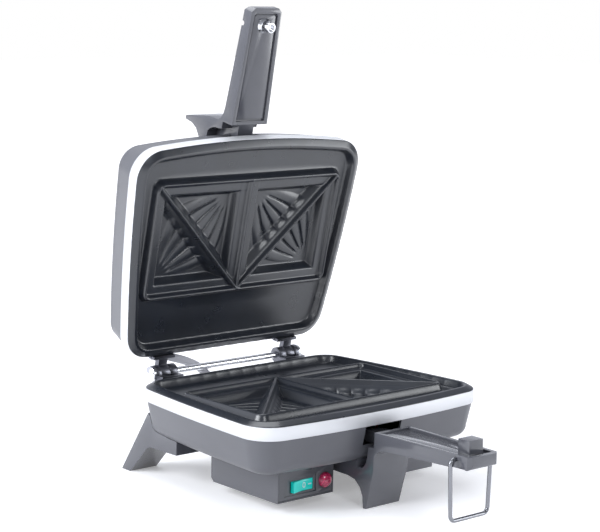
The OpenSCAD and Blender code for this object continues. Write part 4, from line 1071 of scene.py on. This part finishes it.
def make_nuts():
    """Cap nuts: a short collar with eased rims under a shallow dome, a part of a sphere."""
    ball, middle = 12.17, 91.03
    a = np.linspace(math.asin(7.7 / ball), 0.03, 10)
    profile = [(97.2, 3.6), (97.2, 7.5), (97.6, 8.0), (100.2, 8.0)]
    profile += [(middle + ball * math.cos(t), ball * math.sin(t)) for t in a]
    points, faces = [], []
    for s in (-1, 1):
        p, f = revolve(profile, (0.0, 0.0, 0.0), (float(s), 0.0, 0.0), 36)
        faces += [x + sum(len(q) for q in points) for x in f]
        points.append(p)
    add_piece("hinge_nuts_polished", to_base(np.vstack(points)), faces, "bright_steel", "base",
              "bright_steel", ("hinge_cap_nuts",))


def spline(points, k):
    """Catmull-Rom curve through the points, k steps to each span."""
    p = np.asarray(points, float)
    p = np.vstack([p[0], p, p[-1]])
    t = np.linspace(0, 1, k, endpoint=False)[None, :, None]
    a, b, c, d = (p[i:len(p) - 3 + i][:, None] for i in range(4))
    q = b + t * ((c - a) / 2 + t * ((2 * a - 5 * b + 4 * c - d) / 2 + t * (3 * b - a - 3 * c + d) / 2))
    return np.vstack([q.reshape(-1, 3), p[-1]])


def make_sleeve():
    """Sleeve from the lid's rear wall down past the rod to the base's rear wall."""
    start = (to_lid([(-76.0, -27.0, -30.0), (-76.0, -17.0, -30.0)]) - HINGE) / MM
    route = np.vstack([start, [(-71, 25, 15), (-60, 21, 10.5), (-38, 19.5, 3), (-22, 16, -6), (-13, 7, -19),
                               (-10.5, -5, -28), (-10, -17, -30), (-10, -27, -30)]])
    path = to_base(spline(route, 8))
    steps = 24
    points, faces = pipe(path, sizes().sleeve / 2, np.array([0.0, 0.9, -0.43]), steps)
    run = np.concatenate([[0], np.cumsum(np.linalg.norm(np.diff(path, axis=0), axis=1))])
    turn = np.arange(steps) * 2 * math.pi / steps
    uv = np.column_stack([np.tile(turn, len(path)), np.repeat(run * 10, steps)])
    uv = np.vstack([uv, [0, run[0]], [0, run[-1] * 10]])
    sleeve = add_piece("lead_sleeve_braid", points, faces, "sleeve", None, "grey_sleeve",
                       ("lead_sleeve",), uv=uv)
    at_base, at_lid = to_base((-10, -16, -30)), to_lid([(-76.0, -16.0, -30.0)])[0]
    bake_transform(sleeve, "base", "lid", tuple(at_base), tuple(at_lid))


class TOASTER_OT_lamp(bpy.types.Operator):
    """Domed lens of the lamp and the marks on the rocker"""
    bl_idname = "toaster.lamp"
    bl_label = "Lamp lens and marks"

    def execute(self, context):
        make_marks()
        r, rise = 7.5, 4.3
        ball = (r * r + rise * rise) / (2 * rise)
        edge = math.asin(r / ball)
        a = np.linspace(edge * 0.97, 0.02, 12)
        centre = (-44.0, -211.7, BOTTOM_Z - 20.7)
        profile = [(-5.3, r + 0.9), (-3.9, r + 0.9), (-3.85, r), (1.7, r), (2.0, r - 0.15)]
        profile += [(2.0 + rise - ball + ball * math.cos(t), ball * math.sin(t)) for t in a]
        points, faces = revolve(profile, centre, (0.0, -1.0, 0.0))
        add_piece("indicator_lens_dome", to_base(points), faces, "lens", "base", "red_lens",
                  ("indicator_lens",))
        return done()


def make_marks():
    """0 and a bar on the rocker's right half: an oval ring and a lying bar.

    Both are thin slabs on the points (x, z) of the face, counted from the bottom of the rocker's valley."""
    tilt = math.radians(7.0)
    valley = np.array([5.4 * math.sin(tilt), -5.4 * math.cos(tilt), 0.0])
    a = np.linspace(0, 2 * math.pi, 32, endpoint=False)
    oval = np.column_stack([np.cos(a), np.sin(a)])
    outer, inner = oval * (1.9, 2.8) + (2.5, 0.0), oval * (1.15, 2.05) + (2.5, 0.0)
    bar = np.array([[7.6, -0.5], [11.8, -0.5], [11.8, 0.5], [7.6, 0.5]])
    flat = [(outer, 0.05), (inner, 0.05), (inner, -0.05), (outer, -0.05), (bar, 0.05), (bar, -0.05)]
    points = np.vstack([np.column_stack([q[:, 0], np.full(len(q), -h), q[:, 1]]) for q, h in flat]) + valley
    ring = strip(5, 32, flip=True) % 128
    k = 128
    faces = [*ring, [k, k + 1, k + 2, k + 3], [k + 7, k + 6, k + 5, k + 4]]
    faces += [[k + i, k + 4 + i, k + 4 + (i + 1) % 4, k + (i + 1) % 4] for i in range(4)]
    add_piece("rocker_marks", points * MM + ROCKER_PIVOT, faces, "mark", "rocker", "pale_ceramic")


class TOASTER_OT_fastenings(bpy.types.Operator):
    """Finishes of the pieces that keep their CAD shape"""
    bl_idname = "toaster.fastenings"
    bl_label = "Remaining finishes"

    def execute(self, context):
        for finish, nodes in NODES_WITH.items():
            for node in nodes.split():
                slots = frame["nodes"][node].data.materials
                if not slots:
                    slots.append(None)
                for i in range(len(slots)):
                    slots[i] = material(finish)
        return done()


OPERATORS = [TOASTER_OT_stage, TOASTER_OT_plates, TOASTER_OT_shells, TOASTER_OT_mouldings, TOASTER_OT_latch,
             TOASTER_OT_hinge, TOASTER_OT_lamp, TOASTER_OT_fastenings]


class TOASTER_PT_panel(bpy.types.Panel):
    """Sizes, colours and operators in the sidebar"""
    bl_label = "Sandwich toaster"
    bl_idname = "TOASTER_PT_panel"
    bl_space_type = "VIEW_3D"
    bl_region_type = "UI"
    bl_category = "Toaster"

    def draw(self, context):
        for group in (context.scene.toaster_sizes, context.scene.toaster_colours):
            box = self.layout.box()
            for name in group.bl_rna.properties.keys():
                if name not in ("rna_type", "name"):
                    box.prop(group, name)
        for operator in OPERATORS:
            self.layout.operator(operator.bl_idname)


CLASSES = [ToasterSizes, ToasterColours, *OPERATORS, TOASTER_PT_panel]


def register():
    for cls in CLASSES:
        bpy.utils.register_class(cls)
    bpy.types.Scene.toaster_sizes = bpy.props.PointerProperty(type=ToasterSizes)
    bpy.types.Scene.toaster_colours = bpy.props.PointerProperty(type=ToasterColours)


def unregister():
    del bpy.types.Scene.toaster_colours
    del bpy.types.Scene.toaster_sizes
    for cls in reversed(CLASSES):
        bpy.utils.unregister_class(cls)


def main():
    register()
    bpy.ops.toaster.stage()
    bpy.ops.toaster.plates()
    bpy.ops.toaster.shells()
    bpy.ops.toaster.mouldings()
    bpy.ops.toaster.latch()
    bpy.ops.toaster.hinge()
    bpy.ops.toaster.lamp()
    bpy.ops.toaster.fastenings()


if __name__ == "__main__":
    main()
